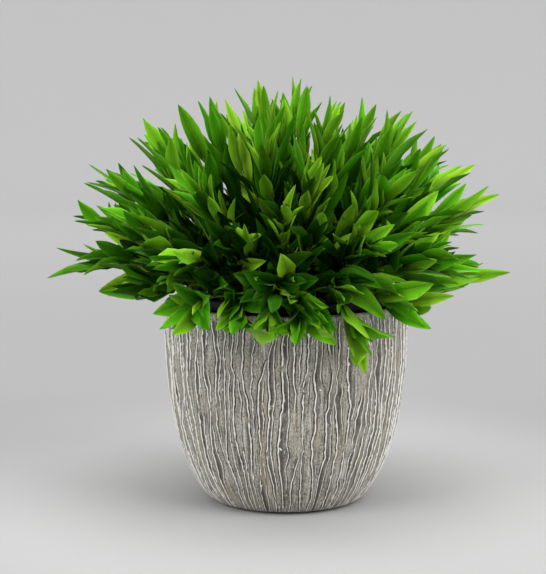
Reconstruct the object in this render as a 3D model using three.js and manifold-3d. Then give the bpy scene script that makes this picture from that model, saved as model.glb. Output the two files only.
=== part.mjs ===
// A potted pogonatherum: a dome of leafy culms growing in a black nursery pot,
// which stands inside a round stoneware cover pot with a bark-like relief.
// Millimetres, +Z up. The origin is the centre of the cover pot's flat foot.
import * as THREE from "three";
import Module from "manifold-3d";

const wasm = await Module();
wasm.setup();

const TURN = 2 * Math.PI;
const GOLDEN_ANGLE = Math.PI * (3 - Math.sqrt(5));

// Cover pot
const POT_HEIGHT = 131;
const RIM_RADIUS = 80;
const FOOT_RADIUS = 46;
const POT_WALL = 6;
const POT_FLOOR = 8;
const BELLY_RISE = 2.55; // how fast the side climbs out of the foot
const BELLY_ROUND = 1.6; // how full the belly is above it
const RIDGES = 66;
const RIDGE_HEIGHT = 1.3;
const LOWEST_CREST = 0.55; // lowest crest, as a share of the ridge height
const RIDGE_WANDER = 0.32; // sideways wander of a ridge, as a share of the ridge spacing
const SLOW_WANDER = 0.045; // radians of wander for each millimetre of height
const QUICK_WANDER = 0.11;
const QUICK_SHARE = 0.4; // share of the quick wander in the whole
const FOOT_RISE = 0.012; // height of the lowest ridged ring, as a share of a band
const BAND_CROWDING = 1.25; // crowds the bands towards the foot, where the pot curves most
const INSIDE_HEIGHTS = [131, 59, 18, 8]; // of the rings of the inside wall, down to the floor
const FLOOR_CORNER = 6;
const POT_BANDS = 6;
const POT_PLAIN_SIDES = 44; // sides of the foot, the inside wall and the floor

// Nursery pot, standing on the cover pot's floor
const NURSERY_FOOT_RADIUS = 43;
const NURSERY_LIP_RADIUS = 68;
const NURSERY_TOP = 137;
const NURSERY_WALL = 1.6;
const NURSERY_LIP_WIDTH = 2.2;
const NURSERY_LIP_DEPTH = 7;
const NURSERY_BEVEL = 0.7;
const NURSERY_SIDES = 22;
const SEAT_GAP = 0.3;

// Soil
const SOIL_EDGE = 127;
const SOIL_CROWN = 132;
const SOIL_SIDES = 18;
const MOUND_SHARES = [0.7, 0.25]; // of the soil's edge, where its mound has a ring
const HOLE_RADIUS = 3.2; // corners of the three-sided hole
const HOLE_SIDES = 3;
const HOLE_DEPTH = 13;
const FOOT_CLEARANCE = 1; // between the end of a culm and the bottom of its hole
const SOIL_GAP = 0.9; // between the soil's side and the facets of the nursery pot

// Culms of the dome, spread over a half ball about a point inside the pot's mouth
const DOME_CENTRE = 128;
const DOME_RADIUS = 147;
const DOME_STEMS = 34;
const DOME_LOWEST = 0.15; // sine of the lowest culm's elevation
const DOME_FREEDOM = 0.3; // how far a culm may turn aside, in radians
const REACH_SWAY = 0.1; // random part of a culm's reach
const END_LEAF_SHARE = 0.9; // of a leaf's length, kept free outside the culm's end
const CLUMP_RADIUS = 48;
const CLUMP_CROWDING = 0.75; // draws the upright culms' roots to the middle

// Belts of shorter culms under the dome: one fills its inside, one reaches over the pot's rim.
// slope is the sine of a culm's elevation, frontFall how much lower it is at the front, and
// crowding how much closer the culms stand there.
const BELTS = [
  {
    stems: 9,
    phase: 0.25,
    crowding: 0.3,
    reach: 74,
    slope: 0.45,
    frontFall: 0,
    rootRadius: 42,
    bendShare: 0.4,
    lift: 4,
  },
  {
    stems: 14,
    phase: 0.5,
    crowding: 0.45,
    reach: 88,
    slope: 0.22,
    frontFall: 0.17,
    rootRadius: 59,
    bendShare: 0.5,
    lift: 21,
  },
];
const BELT_FREEDOM = 0.6; // how far a culm may turn aside, as a share of the belt's spacing

// Every culm
const ROOT_SWAY = 0.8; // random turn of a root about the pot's axis
const ROOT_SPREAD = 0.4; // random part of a root's distance from the axis
const PLACES_TRIED = 60;
const TIP_SHARE = 0.35; // how much the distance of the tips counts against that of the culms
const CULM_GAP = 9; // enough room between the middles of two culms
const DOME_BEND = 0.35; // where a culm arches over, as a share of the way out
const BEND_RISE = 0.32; // how high it arches, as a share of its reach
const DOME_LIFT = 5; // and how much more where a dome culm leans out
const STEM_ROOT_RADIUS = 1.2;
const STEM_TIP_RADIUS = 0.8;
const STEM_SIDES = 3;
const FIRST_LEAF = 0.42; // share of the culm below its first leaf
const BARE_RINGS = 3; // rings of the culm below its first leaf
const SIDE_LEAVES = 11;
const BEYOND = 50; // how far a culm's territory goes on past its end

// Leaves
const LOW_OPENING = 0.9; // angle between culm and leaf, from the lowest leaf
const TOP_OPENING = 0.56; // to the highest
const FOOT_SHARE = 0.6; // height of a leaf's foot between two rings of its culm
const LEAF_LIFT = 0.2; // how far a leaf turns up to the light
const TURN_SWAY = 0.5; // random turn of a leaf round the culm
const FACING_UP = 0.2; // how far a blade turns its face from the culm to the sky
const FACING_SWAY = 0.4; // and how far at random
const LEAF_LENGTH = 42;
const LENGTH_SWAY = 0.3;
const LEAF_WIDTH = 10.4;
const WIDTH_SWAY = 0.28;
const LEAF_DROOP = 0.1; // fall of a level leaf's tip, as a share of its length
const DROOP_SWAY = 0.1;
const LEAF_THICKNESS = 1.4; // at the keel under the midrib
const LEAF_STATIONS = [0.16, 0.54];
const LEAF_SHAPE = [0.62, 1.0]; // exponents of the blade's outline at base and tip
const FITS = [
  [1, 1],
  [1, 0.75],
  [0.86, 1],
  [0.86, 0.75],
  [0.72, 1],
  [0.72, 0.75],
  [0.58, 1],
  [0.58, 0.7],
  [0.46, 0.8],
  [0.46, 0.55],
]; // shares of the length and of the opening, tried in turn
const BLADE_GAP = 0.5; // between blades of one culm
const CLEAR_SHARES = [0.1, 0.25, 0.4, 0.55, 0.7, 0.85]; // where a blade's room is measured
const CELL_MARGIN = 0.9; // room between a leaf and the next culm's territory
const POT_CLEARANCE = 3.5;

// A repeatable draw from 0 to 1 for three whole numbers, and one from -size / 2 to size / 2.
function draw(a, b, c) {
  const x = Math.sin(a * 12.9898 + b * 78.233 + c * 37.719) * 43758.5453;
  return x - Math.floor(x);
}

const sway = (size, a, b, c) => size * (draw(a, b, c) - 0.5);

const UP = new THREE.Vector3(0, 0, 1);
const vec = (x, y, z) => new THREE.Vector3(x, y, z);
const polar = (angle, radius, z) => vec(radius * Math.cos(angle), radius * Math.sin(angle), z);

// Outer radius of the plain cover pot at height z.
function potRadius(z) {
  const t = Math.min(Math.max(z / POT_HEIGHT, 0), 1);
  return FOOT_RADIUS + (RIM_RADIUS - FOOT_RADIUS) * (1 - (1 - t) ** BELLY_RISE) ** (1 / BELLY_ROUND);
}

// A skin is a list of points and of triangles that index them.
const newSkin = () => ({ points: [], faces: [] });

function addRing(skin, points) {
  const first = skin.points.length;
  skin.points.push(...points);
  return points.map((_, i) => first + i);
}

// Joins two rings, which may differ in their number of points, by a band of triangles.
function bridge({ faces }, low, high) {
  const n = low.length;
  const m = high.length;
  for (let i = 0, j = 0; i < n || (m > 1 && j < m); ) {
    const [a, b] = [low[i % n], high[j % m]];
    if (i < n && (m === 1 || j >= m || (i + 1) * m <= (j + 1) * n)) {
      i += 1;
      faces.push([a, low[i % n], b]);
    } else {
      j += 1;
      faces.push([a, high[j % m], b]);
    }
  }
}

function cap({ faces }, ring) {
  for (let i = 2; i < ring.length; i += 1) faces.push([ring[0], ring[i - 1], ring[i]]);
}

// A closed body of stacked rings, flat at both ends.
function lofted(rings) {
  const skin = newSkin();
  const indexed = rings.map((ring) => addRing(skin, ring));
  cap(skin, [...indexed[0]].reverse());
  for (let i = 1; i < indexed.length; i += 1) bridge(skin, indexed[i - 1], indexed[i]);
  cap(skin, indexed[indexed.length - 1]);
  return skin;
}

function geometryOf({ points, faces }) {
  const geometry = new THREE.BufferGeometry();
  const numbers = points.flatMap((point) => point.toArray());
  geometry.setAttribute("position", new THREE.Float32BufferAttribute(numbers, 3));
  geometry.setIndex(faces.flat());
  geometry.computeVertexNormals();
  return geometry;
}

function solidFrom(skin) {
  const { attributes, index } = geometryOf(skin);
  return new wasm.Manifold(
    new wasm.Mesh({
      numProp: 3,
      vertProperties: attributes.position.array,
      triVerts: new Uint32Array(index.array),
    }),
  );
}

function geometryFrom(solid) {
  const mesh = solid.getMesh();
  const geometry = new THREE.BufferGeometry();
  geometry.setAttribute("position", new THREE.BufferAttribute(mesh.vertProperties, 3));
  geometry.setIndex(new THREE.BufferAttribute(mesh.triVerts, 1));
  geometry.computeVertexNormals();
  return geometry;
}

// A flat ring of points round a centre, in the plane of x and y.
function ringOf(sides, centre, radius, x = vec(1, 0, 0), y = vec(0, 1, 0)) {
  return Array.from({ length: sides }, (_, i) => {
    const a = (i / sides) * TURN;
    return centre.clone().addScaledVector(x, radius * Math.cos(a)).addScaledVector(y, radius * Math.sin(a));
  });
}

// Cover pot: a turned body whose outside is raised into wandering vertical ridges.
function ridgeAngle(column, z) {
  const spacing = TURN / RIDGES;
  const slow = Math.sin(z * SLOW_WANDER + TURN * draw(column, 1, 0));
  const quick = Math.sin(z * QUICK_WANDER + TURN * draw(column, 2, 0));
  return (column / 2 + RIDGE_WANDER * ((1 - QUICK_SHARE) * slow + QUICK_SHARE * quick)) * spacing;
}

function makeCoverPot() {
  const rings = [ringOf(POT_PLAIN_SIDES, vec(0, 0, 0), FOOT_RADIUS)];
  for (let band = 0; band <= POT_BANDS; band += 1) {
    const z = POT_HEIGHT * Math.max(band / POT_BANDS, FOOT_RISE) ** BAND_CROWDING;
    const ridged = Array.from({ length: 2 * RIDGES }, (_, column) => {
      const isCrest = column % 2 === 0 && band > 0;
      const share = LOWEST_CREST + (1 - LOWEST_CREST) * draw(column, band, 3);
      const radius = potRadius(z) - RIDGE_HEIGHT * (isCrest ? 1 - share : 1);
      return polar(ridgeAngle(column, z), radius, z);
    });
    rings.push(ridged);
  }
  for (const z of INSIDE_HEIGHTS) {
    const corner = z === POT_FLOOR ? FLOOR_CORNER : 0;
    rings.push(ringOf(POT_PLAIN_SIDES, vec(0, 0, z), potRadius(z) - POT_WALL - corner));
  }
  return geometryOf(lofted(rings));
}

// Nursery pot: a thin tapered cup with a turned-out lip.
const nurseryFloor = POT_FLOOR + SEAT_GAP;
const nurseryTaper =
  (NURSERY_LIP_RADIUS - NURSERY_LIP_WIDTH - NURSERY_FOOT_RADIUS) / (NURSERY_TOP - nurseryFloor);
const nurseryRadius = (z) => NURSERY_FOOT_RADIUS + nurseryTaper * (z - nurseryFloor);

function makeNurseryPot() {
  const lipFoot = NURSERY_TOP - NURSERY_LIP_DEPTH;
  const inside = nurseryFloor + NURSERY_WALL;
  const profile = [
    [NURSERY_FOOT_RADIUS, nurseryFloor],
    [nurseryRadius(lipFoot), lipFoot],
    [NURSERY_LIP_RADIUS - NURSERY_BEVEL, lipFoot + NURSERY_BEVEL],
    [NURSERY_LIP_RADIUS, NURSERY_TOP - NURSERY_BEVEL],
    [NURSERY_LIP_RADIUS - NURSERY_BEVEL, NURSERY_TOP],
    [nurseryRadius(NURSERY_TOP) - NURSERY_WALL, NURSERY_TOP - NURSERY_BEVEL],
    [nurseryRadius(inside) - NURSERY_WALL, inside],
  ];
  return geometryOf(lofted(profile.map(([r, z]) => ringOf(NURSERY_SIDES, vec(0, 0, z), r))));
}

// Culms: each is a curve from its hole in the soil to the foot of its last leaf.
function soilHeight(radius) {
  return SOIL_CROWN - (SOIL_CROWN - SOIL_EDGE) * (radius / NURSERY_LIP_RADIUS) ** 2;
}

// Turns the frame of each point with the chain, so that the culm's faces don't twist.
function framed(centres, start) {
  let normal = start;
  return centres.map((centre, i) => {
    const along = (centres[i + 1] || centre).clone().sub(centres[i - 1] || centre).normalize();
    normal = normal.clone().projectOnPlane(along).normalize();
    return { centre, along, normal, binormal: along.clone().cross(normal) };
  });
}

function makeCulm(plan, attempt) {
  const { index, slope, reach, rootRadius, bendShare, lift } = plan;
  const level = Math.sqrt(1 - slope * slope);
  const azimuth = plan.azimuth + sway(plan.freedom, index, 6, attempt);
  const end = polar(azimuth, reach * level, DOME_CENTRE + reach * slope);
  const radius = rootRadius * (1 - ROOT_SPREAD * draw(index, 5, attempt));
  const root = polar(azimuth + sway(ROOT_SWAY, index, 4, attempt), radius, soilHeight(radius));
  const bend = root.clone().lerp(end, bendShare);
  bend.z = root.z + BEND_RISE * end.distanceTo(root) + lift;
  const curve = new THREE.QuadraticBezierCurve3(root, bend, end);
  const foot = root.clone().addScaledVector(UP, FOOT_CLEARANCE - HOLE_DEPTH);
  const centres = [foot, root, curve.getPointAt(FIRST_LEAF / 2)];
  for (let k = 0; k <= SIDE_LEAVES; k += 1) {
    centres.push(curve.getPointAt(FIRST_LEAF + (1 - FIRST_LEAF) * (k / SIDE_LEAVES)));
  }
  const chain = framed(centres, polar(TURN * draw(index, 8, 0), 1, 0));
  const beyond = end.clone().addScaledVector(curve.getTangent(1), BEYOND);
  return { index, root, end, chain, centres, line: [...centres.slice(1), beyond] };
}

// A culm takes the place, of a few drawn ones, where it stays furthest from the culms before it.
function addCulm(culms, plan) {
  let best = null;
  for (let attempt = 0; attempt < PLACES_TRIED; attempt += 1) {
    const culm = makeCulm({ index: culms.length, ...plan }, attempt);
    const gaps = culms.map((other) =>
      Math.min(
        culm.end.distanceTo(other.end) * TIP_SHARE,
        ...culm.centres.map((centre) => distanceToLine(centre, other.centres)),
      ),
    );
    culm.gap = Math.min(...gaps, CULM_GAP);
    if (!best || culm.gap > best.gap) best = culm;
  }
  culms.push(best);
}

function addDome(culms) {
  for (let i = 0; i < DOME_STEMS; i += 1) {
    const slope = DOME_LOWEST + (1 - DOME_LOWEST) * ((i + 0.5) / DOME_STEMS);
    addCulm(culms, {
      slope,
      azimuth: i * GOLDEN_ANGLE,
      freedom: DOME_FREEDOM,
      reach: DOME_RADIUS * (1 + sway(REACH_SWAY, i, 7, 0)) - LEAF_LENGTH * END_LEAF_SHARE,
      rootRadius: CLUMP_RADIUS * (1 - slope * slope) ** CLUMP_CROWDING,
      bendShare: DOME_BEND,
      lift: DOME_LIFT * (1 - slope),
    });
  }
}

function addBelt(culms, belt) {
  for (let j = 0; j < belt.stems; j += 1) {
    const turn = ((j + belt.phase) / belt.stems) * TURN;
    const azimuth = turn - belt.crowding * Math.sin(turn) - TURN / 4;
    const front = Math.max(0, -Math.sin(azimuth));
    addCulm(culms, {
      azimuth,
      freedom: (BELT_FREEDOM * TURN) / belt.stems,
      slope: belt.slope - belt.frontFall * front,
      reach: belt.reach * (1 + sway(REACH_SWAY, j, 7, belt.stems)),
      rootRadius: belt.rootRadius,
      bendShare: belt.bendShare,
      lift: belt.lift,
    });
  }
}

function makeCulms() {
  const culms = [];
  addDome(culms);
  for (const belt of BELTS) addBelt(culms, belt);
  return culms;
}

function distanceToLine(point, line) {
  let best = Infinity;
  const segment = new THREE.Line3();
  const near = new THREE.Vector3();
  for (let i = 0; i + 1 < line.length; i += 1) {
    segment.set(line[i], line[i + 1]).closestPointToPoint(point, true, near);
    best = Math.min(best, near.distanceTo(point));
  }
  return best;
}

// Half the blade's width at a share s of its length, where 1 is the widest.
function bladeOutline(s) {
  const [p, q] = LEAF_SHAPE;
  const widest = p / (p + q);
  return (s / widest) ** p * ((1 - s) / (1 - widest)) ** q;
}

// A leaf's own frame: forward along the blade, normal out of its upper face, side across it.
function leafFrame(foot, forward, facing) {
  const side = forward.clone().cross(facing).normalize();
  return { foot, forward, side, normal: side.clone().cross(forward).normalize() };
}

// Side leaf k sits on one face of the culm above ring k.
function sideLeafFrame({ index, chain }, k, closer) {
  const { centre, along, normal, binormal } = chain[BARE_RINGS + k];
  const foot = centre.clone().lerp(chain[BARE_RINGS + k + 1].centre, FOOT_SHARE);
  const share = k / (SIDE_LEAVES - 1);
  const opening = (LOW_OPENING + (TOP_OPENING - LOW_OPENING) * share) * closer;
  const face = ((k + 0.5) / STEM_SIDES) * TURN + sway(TURN_SWAY, index, k, 8);
  const outward = normal.clone().multiplyScalar(Math.cos(face)).addScaledVector(binormal, Math.sin(face));
  const across = along.clone().cross(outward);
  const forward = along.clone().multiplyScalar(Math.cos(opening));
  forward.addScaledVector(outward, Math.sin(opening)).addScaledVector(UP, LEAF_LIFT).normalize();
  const facing = along.clone().addScaledVector(UP, FACING_UP);
  return leafFrame(foot, forward, facing.addScaledVector(across, sway(FACING_SWAY, index, k, 10)));
}

// The end leaf sits on top of the last ring.
function endLeafFrame({ chain }) {
  const { centre, along, normal } = chain.at(-1);
  return leafFrame(centre, along, normal.clone().negate());
}

function leafAt(culm, k, shorter, closer) {
  const { index } = culm;
  const frame = k === SIDE_LEAVES ? endLeafFrame(culm) : sideLeafFrame(culm, k, closer);
  return {
    ...frame,
    reach: LEAF_LENGTH * (1 + sway(LENGTH_SWAY, index, k, 11)) * shorter,
    width: LEAF_WIDTH * (1 + sway(WIDTH_SWAY, index, k, 12)) * Math.sqrt(shorter),
    droop: DROOP_SWAY * draw(index, k, 13) + LEAF_DROOP * (1 - Math.abs(frame.forward.z)),
  };
}

function leafPoint(leaf, s, across, above) {
  return leaf.foot
    .clone()
    .addScaledVector(leaf.forward, leaf.reach * s)
    .addScaledVector(UP, -leaf.droop * leaf.reach * s * s)
    .addScaledVector(leaf.side, across)
    .addScaledVector(leaf.normal, above);
}

// The corners of the blade's section at a share s of its length: keel, edge and edge.
function bladeSection(leaf, s) {
  const half = (leaf.width / 2) * bladeOutline(s);
  const keel = leafPoint(leaf, s, 0, -LEAF_THICKNESS);
  return [keel, leafPoint(leaf, s, -half, 0), leafPoint(leaf, s, half, 0)];
}

// True where the leaf keeps to its own culm's territory and off the pots.
function isClear(leaf, culm, culms) {
  const points = CLEAR_SHARES.flatMap((s) => bladeSection(leaf, s));
  points.push(leafPoint(leaf, 1, 0, 0));
  return points.every((p) => {
    const overPot = Math.hypot(p.x, p.y) < RIM_RADIUS + POT_CLEARANCE;
    if (overPot && p.z < NURSERY_TOP + POT_CLEARANCE) return false;
    const own = distanceToLine(p, culm.line) + CELL_MARGIN;
    return culms.every((other) => other === culm || distanceToLine(p, other.line) > own);
  });
}

// The outer part of a blade as a body of its own, to measure the room round it.
function bladeBody(leaf) {
  const skin = newSkin();
  const near = LEAF_STATIONS[0] / 2;
  const base = addRing(skin, [
    leafPoint(leaf, near, 0, -LEAF_THICKNESS / 2),
    leafPoint(leaf, near, -STEM_TIP_RADIUS, 0),
    leafPoint(leaf, near, STEM_TIP_RADIUS, 0),
  ]);
  cap(skin, [...base].reverse());
  growBlade(skin, base, leaf);
  return solidFrom(skin);
}

// The leaves of a culm, from its end down. A leaf is shorter or closer to the culm where its
// neighbours leave less room, and left out where they leave none.
function makeLeaves(culm, culms) {
  const leaves = [];
  const bodies = [];
  for (let k = SIDE_LEAVES; k >= 0; k -= 1) {
    for (const [shorter, closer] of FITS) {
      const leaf = leafAt(culm, k, shorter, closer);
      if (!isClear(leaf, culm, culms)) continue;
      const body = bladeBody(leaf);
      if (bodies.some((other) => other.minGap(body, BLADE_GAP) < BLADE_GAP)) continue;
      leaves[k] = leaf;
      bodies.push(body);
      break;
    }
  }
  return leaves;
}

// Grows a blade out of a triangle of the culm, whose first corner lies below the other two.
function growBlade(skin, base, leaf) {
  let below = base;
  for (const s of LEAF_STATIONS) {
    const station = addRing(skin, bladeSection(leaf, s));
    bridge(skin, below, station);
    below = station;
  }
  bridge(skin, below, addRing(skin, [leafPoint(leaf, 1, 0, 0)]));
}

// A tube of three faces, with a blade grown out of one triangle between each two of its rings.
function makeLeafyStem(culm, culms) {
  const skin = newSkin();
  const leaves = makeLeaves(culm, culms);
  const rings = culm.chain.map(({ centre, normal, binormal }, i) => {
    const radius = THREE.MathUtils.lerp(STEM_ROOT_RADIUS, STEM_TIP_RADIUS, i / culm.chain.length);
    return addRing(skin, ringOf(STEM_SIDES, centre, radius, normal, binormal));
  });
  cap(skin, [...rings[0]].reverse());
  for (let r = 0; r + 1 < rings.length; r += 1) {
    const [low, high] = [rings[r], rings[r + 1]];
    const k = r - BARE_RINGS;
    for (let i = 0; i < STEM_SIDES; i += 1) {
      const j = (i + 1) % STEM_SIDES;
      const upper = [low[j], high[j], high[i]];
      skin.faces.push([low[i], low[j], high[i]]);
      if (leaves[k] && i === k % STEM_SIDES) growBlade(skin, upper, leaves[k]);
      else skin.faces.push(upper);
    }
  }
  if (leaves[SIDE_LEAVES]) growBlade(skin, rings.at(-1), leaves[SIDE_LEAVES]);
  else cap(skin, rings.at(-1));
  return geometryOf(skin);
}

// Soil: a low mound inside the nursery pot, with a plain hole for each culm.
function makeSoil(culms) {
  const floor = nurseryFloor + NURSERY_WALL + SEAT_GAP;
  const inside = (z) => nurseryRadius(z) - NURSERY_WALL - SOIL_GAP;
  const edge = inside(SOIL_EDGE);
  const mound = MOUND_SHARES.map((share) => [edge * share, soilHeight(edge * share)]);
  const profile = [[inside(floor), floor], [edge, SOIL_EDGE], ...mound];
  const body = lofted(profile.map(([r, z]) => ringOf(SOIL_SIDES, vec(0, 0, z), r)));
  const holes = culms.map(({ root }) => {
    const heights = [root.z - HOLE_DEPTH, SOIL_CROWN + FOOT_CLEARANCE];
    return solidFrom(lofted(heights.map((z) => ringOf(HOLE_SIDES, vec(root.x, root.y, z), HOLE_RADIUS))));
  });
  return geometryFrom(solidFrom(body).subtract(wasm.Manifold.union(holes)));
}

const stoneware = new THREE.MeshStandardMaterial({ color: "#8d8a80", roughness: 0.85, metalness: 0 });
const blackPlastic = new THREE.MeshStandardMaterial({ color: "#17181a", roughness: 0.5, metalness: 0 });
const peat = new THREE.MeshStandardMaterial({ color: "#2b1f18", roughness: 1, metalness: 0 });
const leafGreen = new THREE.MeshStandardMaterial({ color: "#2f7d16", roughness: 0.5, metalness: 0 });

const plant = new THREE.Group();
function addNode(name, geometry, material) {
  const mesh = new THREE.Mesh(geometry, material);
  mesh.name = name;
  plant.add(mesh);
}

const culms = makeCulms();
addNode("cover_pot", makeCoverPot(), stoneware);
addNode("nursery_pot", makeNurseryPot(), blackPlastic);
addNode("soil", makeSoil(culms), peat);
culms.forEach((culm, i) => {
  addNode("leafy_stem_" + String(i + 1).padStart(2, "0"), makeLeafyStem(culm, culms), leafGreen);
});

export default plant;
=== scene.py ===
"""The looks of a potted pogonatherum: a dome of leafy culms in a bark-textured stoneware pot.

Metres, +Z up, in the frame of the CAD part. Sizes named in millimetres end in _MM, and the
sections of turned bodies are in millimetres too.
"""

import math

import bmesh
import bpy
import numpy as np
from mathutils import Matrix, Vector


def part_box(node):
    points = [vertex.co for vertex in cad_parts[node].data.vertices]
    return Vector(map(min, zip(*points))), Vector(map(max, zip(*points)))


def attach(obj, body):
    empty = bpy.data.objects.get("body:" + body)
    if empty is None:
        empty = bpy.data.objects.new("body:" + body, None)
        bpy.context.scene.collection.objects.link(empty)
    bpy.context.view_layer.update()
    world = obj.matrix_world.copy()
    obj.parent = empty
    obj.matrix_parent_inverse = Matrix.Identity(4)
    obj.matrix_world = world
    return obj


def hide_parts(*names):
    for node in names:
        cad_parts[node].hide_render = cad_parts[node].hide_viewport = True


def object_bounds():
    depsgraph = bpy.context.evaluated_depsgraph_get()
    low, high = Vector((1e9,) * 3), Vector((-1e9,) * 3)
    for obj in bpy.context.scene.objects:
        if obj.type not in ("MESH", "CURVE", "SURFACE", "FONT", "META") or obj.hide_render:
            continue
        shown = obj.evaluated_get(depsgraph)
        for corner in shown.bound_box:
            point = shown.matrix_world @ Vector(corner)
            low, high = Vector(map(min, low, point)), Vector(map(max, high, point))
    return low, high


bl_info = {
    "name": "Potted Pogonatherum",
    "version": (1, 0, 0),
    "blender": (4, 5, 0),
    "location": "View3D > Sidebar > Pogonatherum",
    "description": "Dresses the potted grass: leafy culms, stoneware cover pot, nursery pot and soil",
    "category": "Add Mesh",
}

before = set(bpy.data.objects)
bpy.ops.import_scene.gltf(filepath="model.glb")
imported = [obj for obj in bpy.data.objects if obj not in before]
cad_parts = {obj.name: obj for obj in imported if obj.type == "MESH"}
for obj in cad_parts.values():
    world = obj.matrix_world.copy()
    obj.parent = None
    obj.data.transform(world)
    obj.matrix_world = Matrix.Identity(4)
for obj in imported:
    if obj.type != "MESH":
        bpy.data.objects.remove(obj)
CAD_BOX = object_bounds()

MM = 0.001
TURN = 2 * math.pi

# Cover pot, as in the CAD part.
POT_HEIGHT_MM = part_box("cover_pot")[1].z / MM
RIM_RADIUS_MM = 80.0
FOOT_RADIUS_MM = 46.0
WALL_MM = 6.0
FLOOR_MM = 8.0
BELLY_RISE, BELLY_ROUND = 2.55, 1.6  # exponents of the curve of its side
GROUND_SINK_MM = 1.1  # the sandy ground lies this far inside the crests
RIDGES = 66
# The ridges wander by this share of their spacing, in a slow and a quick wave. The waves are given
# in radians a mm, and the quick one makes this share of the wandering.
RIDGE_WANDER = 0.32
SLOW_WANDER, QUICK_WANDER = 0.045, 0.11
QUICK_SHARE = 0.4

# Nursery pot and soil, as in the CAD part.
NURSERY_FOOT_MM = 43.0
NURSERY_WALL_MM = 1.6
LIP_RADIUS_MM = 68.0
LIP_WIDTH_MM = 2.2
LIP_TOP_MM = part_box("nursery_pot")[1].z / MM
SOIL_EDGE_MM = 127.0
SOIL_CROWN_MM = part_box("soil")[1].z / MM

# The grass is a dome about this middle, with its outermost blades about this far out.
DOME_CENTRE = np.array([0.0, 0.0, 128.0]) * MM
DOME_REACH_MM = 147.0

# Kinds of node that are used often.
NOISE = "ShaderNodeTexNoise"
MATH = "ShaderNodeMath"
VECTOR_MATH = "ShaderNodeVectorMath"
MAP_RANGE = "ShaderNodeMapRange"
ATTRIBUTE = "ShaderNodeAttribute"
BUMP = "ShaderNodeBump"
ROTATE = "ShaderNodeVectorRotate"
SET_POSITION = "GeometryNodeSetPosition"
SET_MATERIAL = "GeometryNodeSetMaterial"


# Small tools


def srgb(code):
    """Turns a colour written as #rrggbb into linear red, green and blue."""
    parts = [int(code[i : i + 2], 16) / 255 for i in (1, 3, 5)]
    return tuple(c / 12.92 if c <= 0.04045 else ((c + 0.055) / 1.055) ** 2.4 for c in parts)


def opaque(colour):
    return (*colour, 1.0)


def draw(a, b, c):
    """A repeatable draw from 0 to 1 for three numbers or arrays of numbers."""
    x = np.sin(a * 12.9898 + b * 78.233 + c * 37.719) * 43758.5453
    return x - np.floor(x)


def sway(size, a, b, c):
    """A repeatable draw from -size / 2 to size / 2."""
    return size * (draw(a, b, c) - 0.5)


def unit(v):
    return v / np.linalg.norm(v)


def smooth(low, high, x):
    """Rises softly from 0 at low to 1 at high, or falls where low is the larger one."""
    t = np.clip((x - low) / (high - low), 0, 1)
    return t * t * (3 - 2 * t)


def add_node(tree, kind, inputs=None, **settings):
    """Adds one node. An input is given a value, or the node or the output that it is linked from."""
    made = tree.nodes.new(kind)
    for name, value in settings.items():
        setattr(made, name, value)
    for key, value in (inputs or {}).items():
        by_name = (socket for socket in made.inputs if socket.enabled and socket.name == key)
        socket = made.inputs[key] if isinstance(key, int) else next(by_name)
        if isinstance(value, bpy.types.Node):
            value = next(output for output in value.outputs if output.enabled)
        if isinstance(value, bpy.types.NodeSocket):
            tree.links.new(value, socket)
        else:
            socket.default_value = opaque(value) if socket.type == "RGBA" else value
    return made


def new_tree(name, sizes):
    """A geometry tree with a geometry input and named inputs, given as {name: socket kind}."""
    tree = bpy.data.node_groups.new(name, "GeometryNodeTree")
    tree.interface.new_socket("Geometry", in_out="INPUT", socket_type="NodeSocketGeometry")
    for label, kind in sizes.items():
        tree.interface.new_socket(label, in_out="INPUT", socket_type=f"NodeSocket{kind}")
    tree.interface.new_socket("Geometry", in_out="OUTPUT", socket_type="NodeSocketGeometry")
    return tree, tree.nodes.new("NodeGroupInput").outputs, tree.nodes.new("NodeGroupOutput").inputs


def mesh_object(name, points, faces=(), edges=(), values=None):
    """A new object from points in metres, with attributes on its points."""
    mesh = bpy.data.meshes.new(name)
    mesh.from_pydata([tuple(p) for p in points], [tuple(e) for e in edges], [tuple(f) for f in faces])
    for label, data in (values or {}).items():
        data = np.asarray(data, np.float32)
        kind, key = ("FLOAT_VECTOR", "vector") if data.ndim == 2 else ("FLOAT", "value")
        mesh.attributes.new(label, kind, "POINT").data.foreach_set(key, data.ravel())
    made = bpy.data.objects.new(name, mesh)
    bpy.context.scene.collection.objects.link(made)
    return made


def dress(holder, tree, values):
    """Puts a geometry tree on an object, its inputs set by their sockets' identifiers."""
    modifier = holder.modifiers.new(tree.name, "NODES")
    modifier.node_group = tree
    for item in tree.interface.items_tree:
        if item.in_out == "INPUT" and item.name in values:
            modifier[item.identifier] = values[item.name]


def settle(holders):
    """Turns what each object's tree makes into its own plain mesh."""
    graph = bpy.context.evaluated_depsgraph_get()
    meshes = [
        bpy.data.meshes.new_from_object(
            holder.evaluated_get(graph), preserve_all_data_layers=True, depsgraph=graph
        )
        for holder in holders
    ]
    for holder, mesh in zip(holders, meshes):
        holder.modifiers.clear()
        holder.data = mesh
        mesh.name = holder.name


def stand_for(piece, slot, *nodes):
    """Lets a finished piece take the place of CAD nodes."""
    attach(piece, "root")
    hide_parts(*nodes)


def ring_points(radius, height, sides):
    angles = TURN * np.arange(sides) / sides
    return [(radius * math.cos(a) * MM, radius * math.sin(a) * MM, height * MM) for a in angles]


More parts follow.
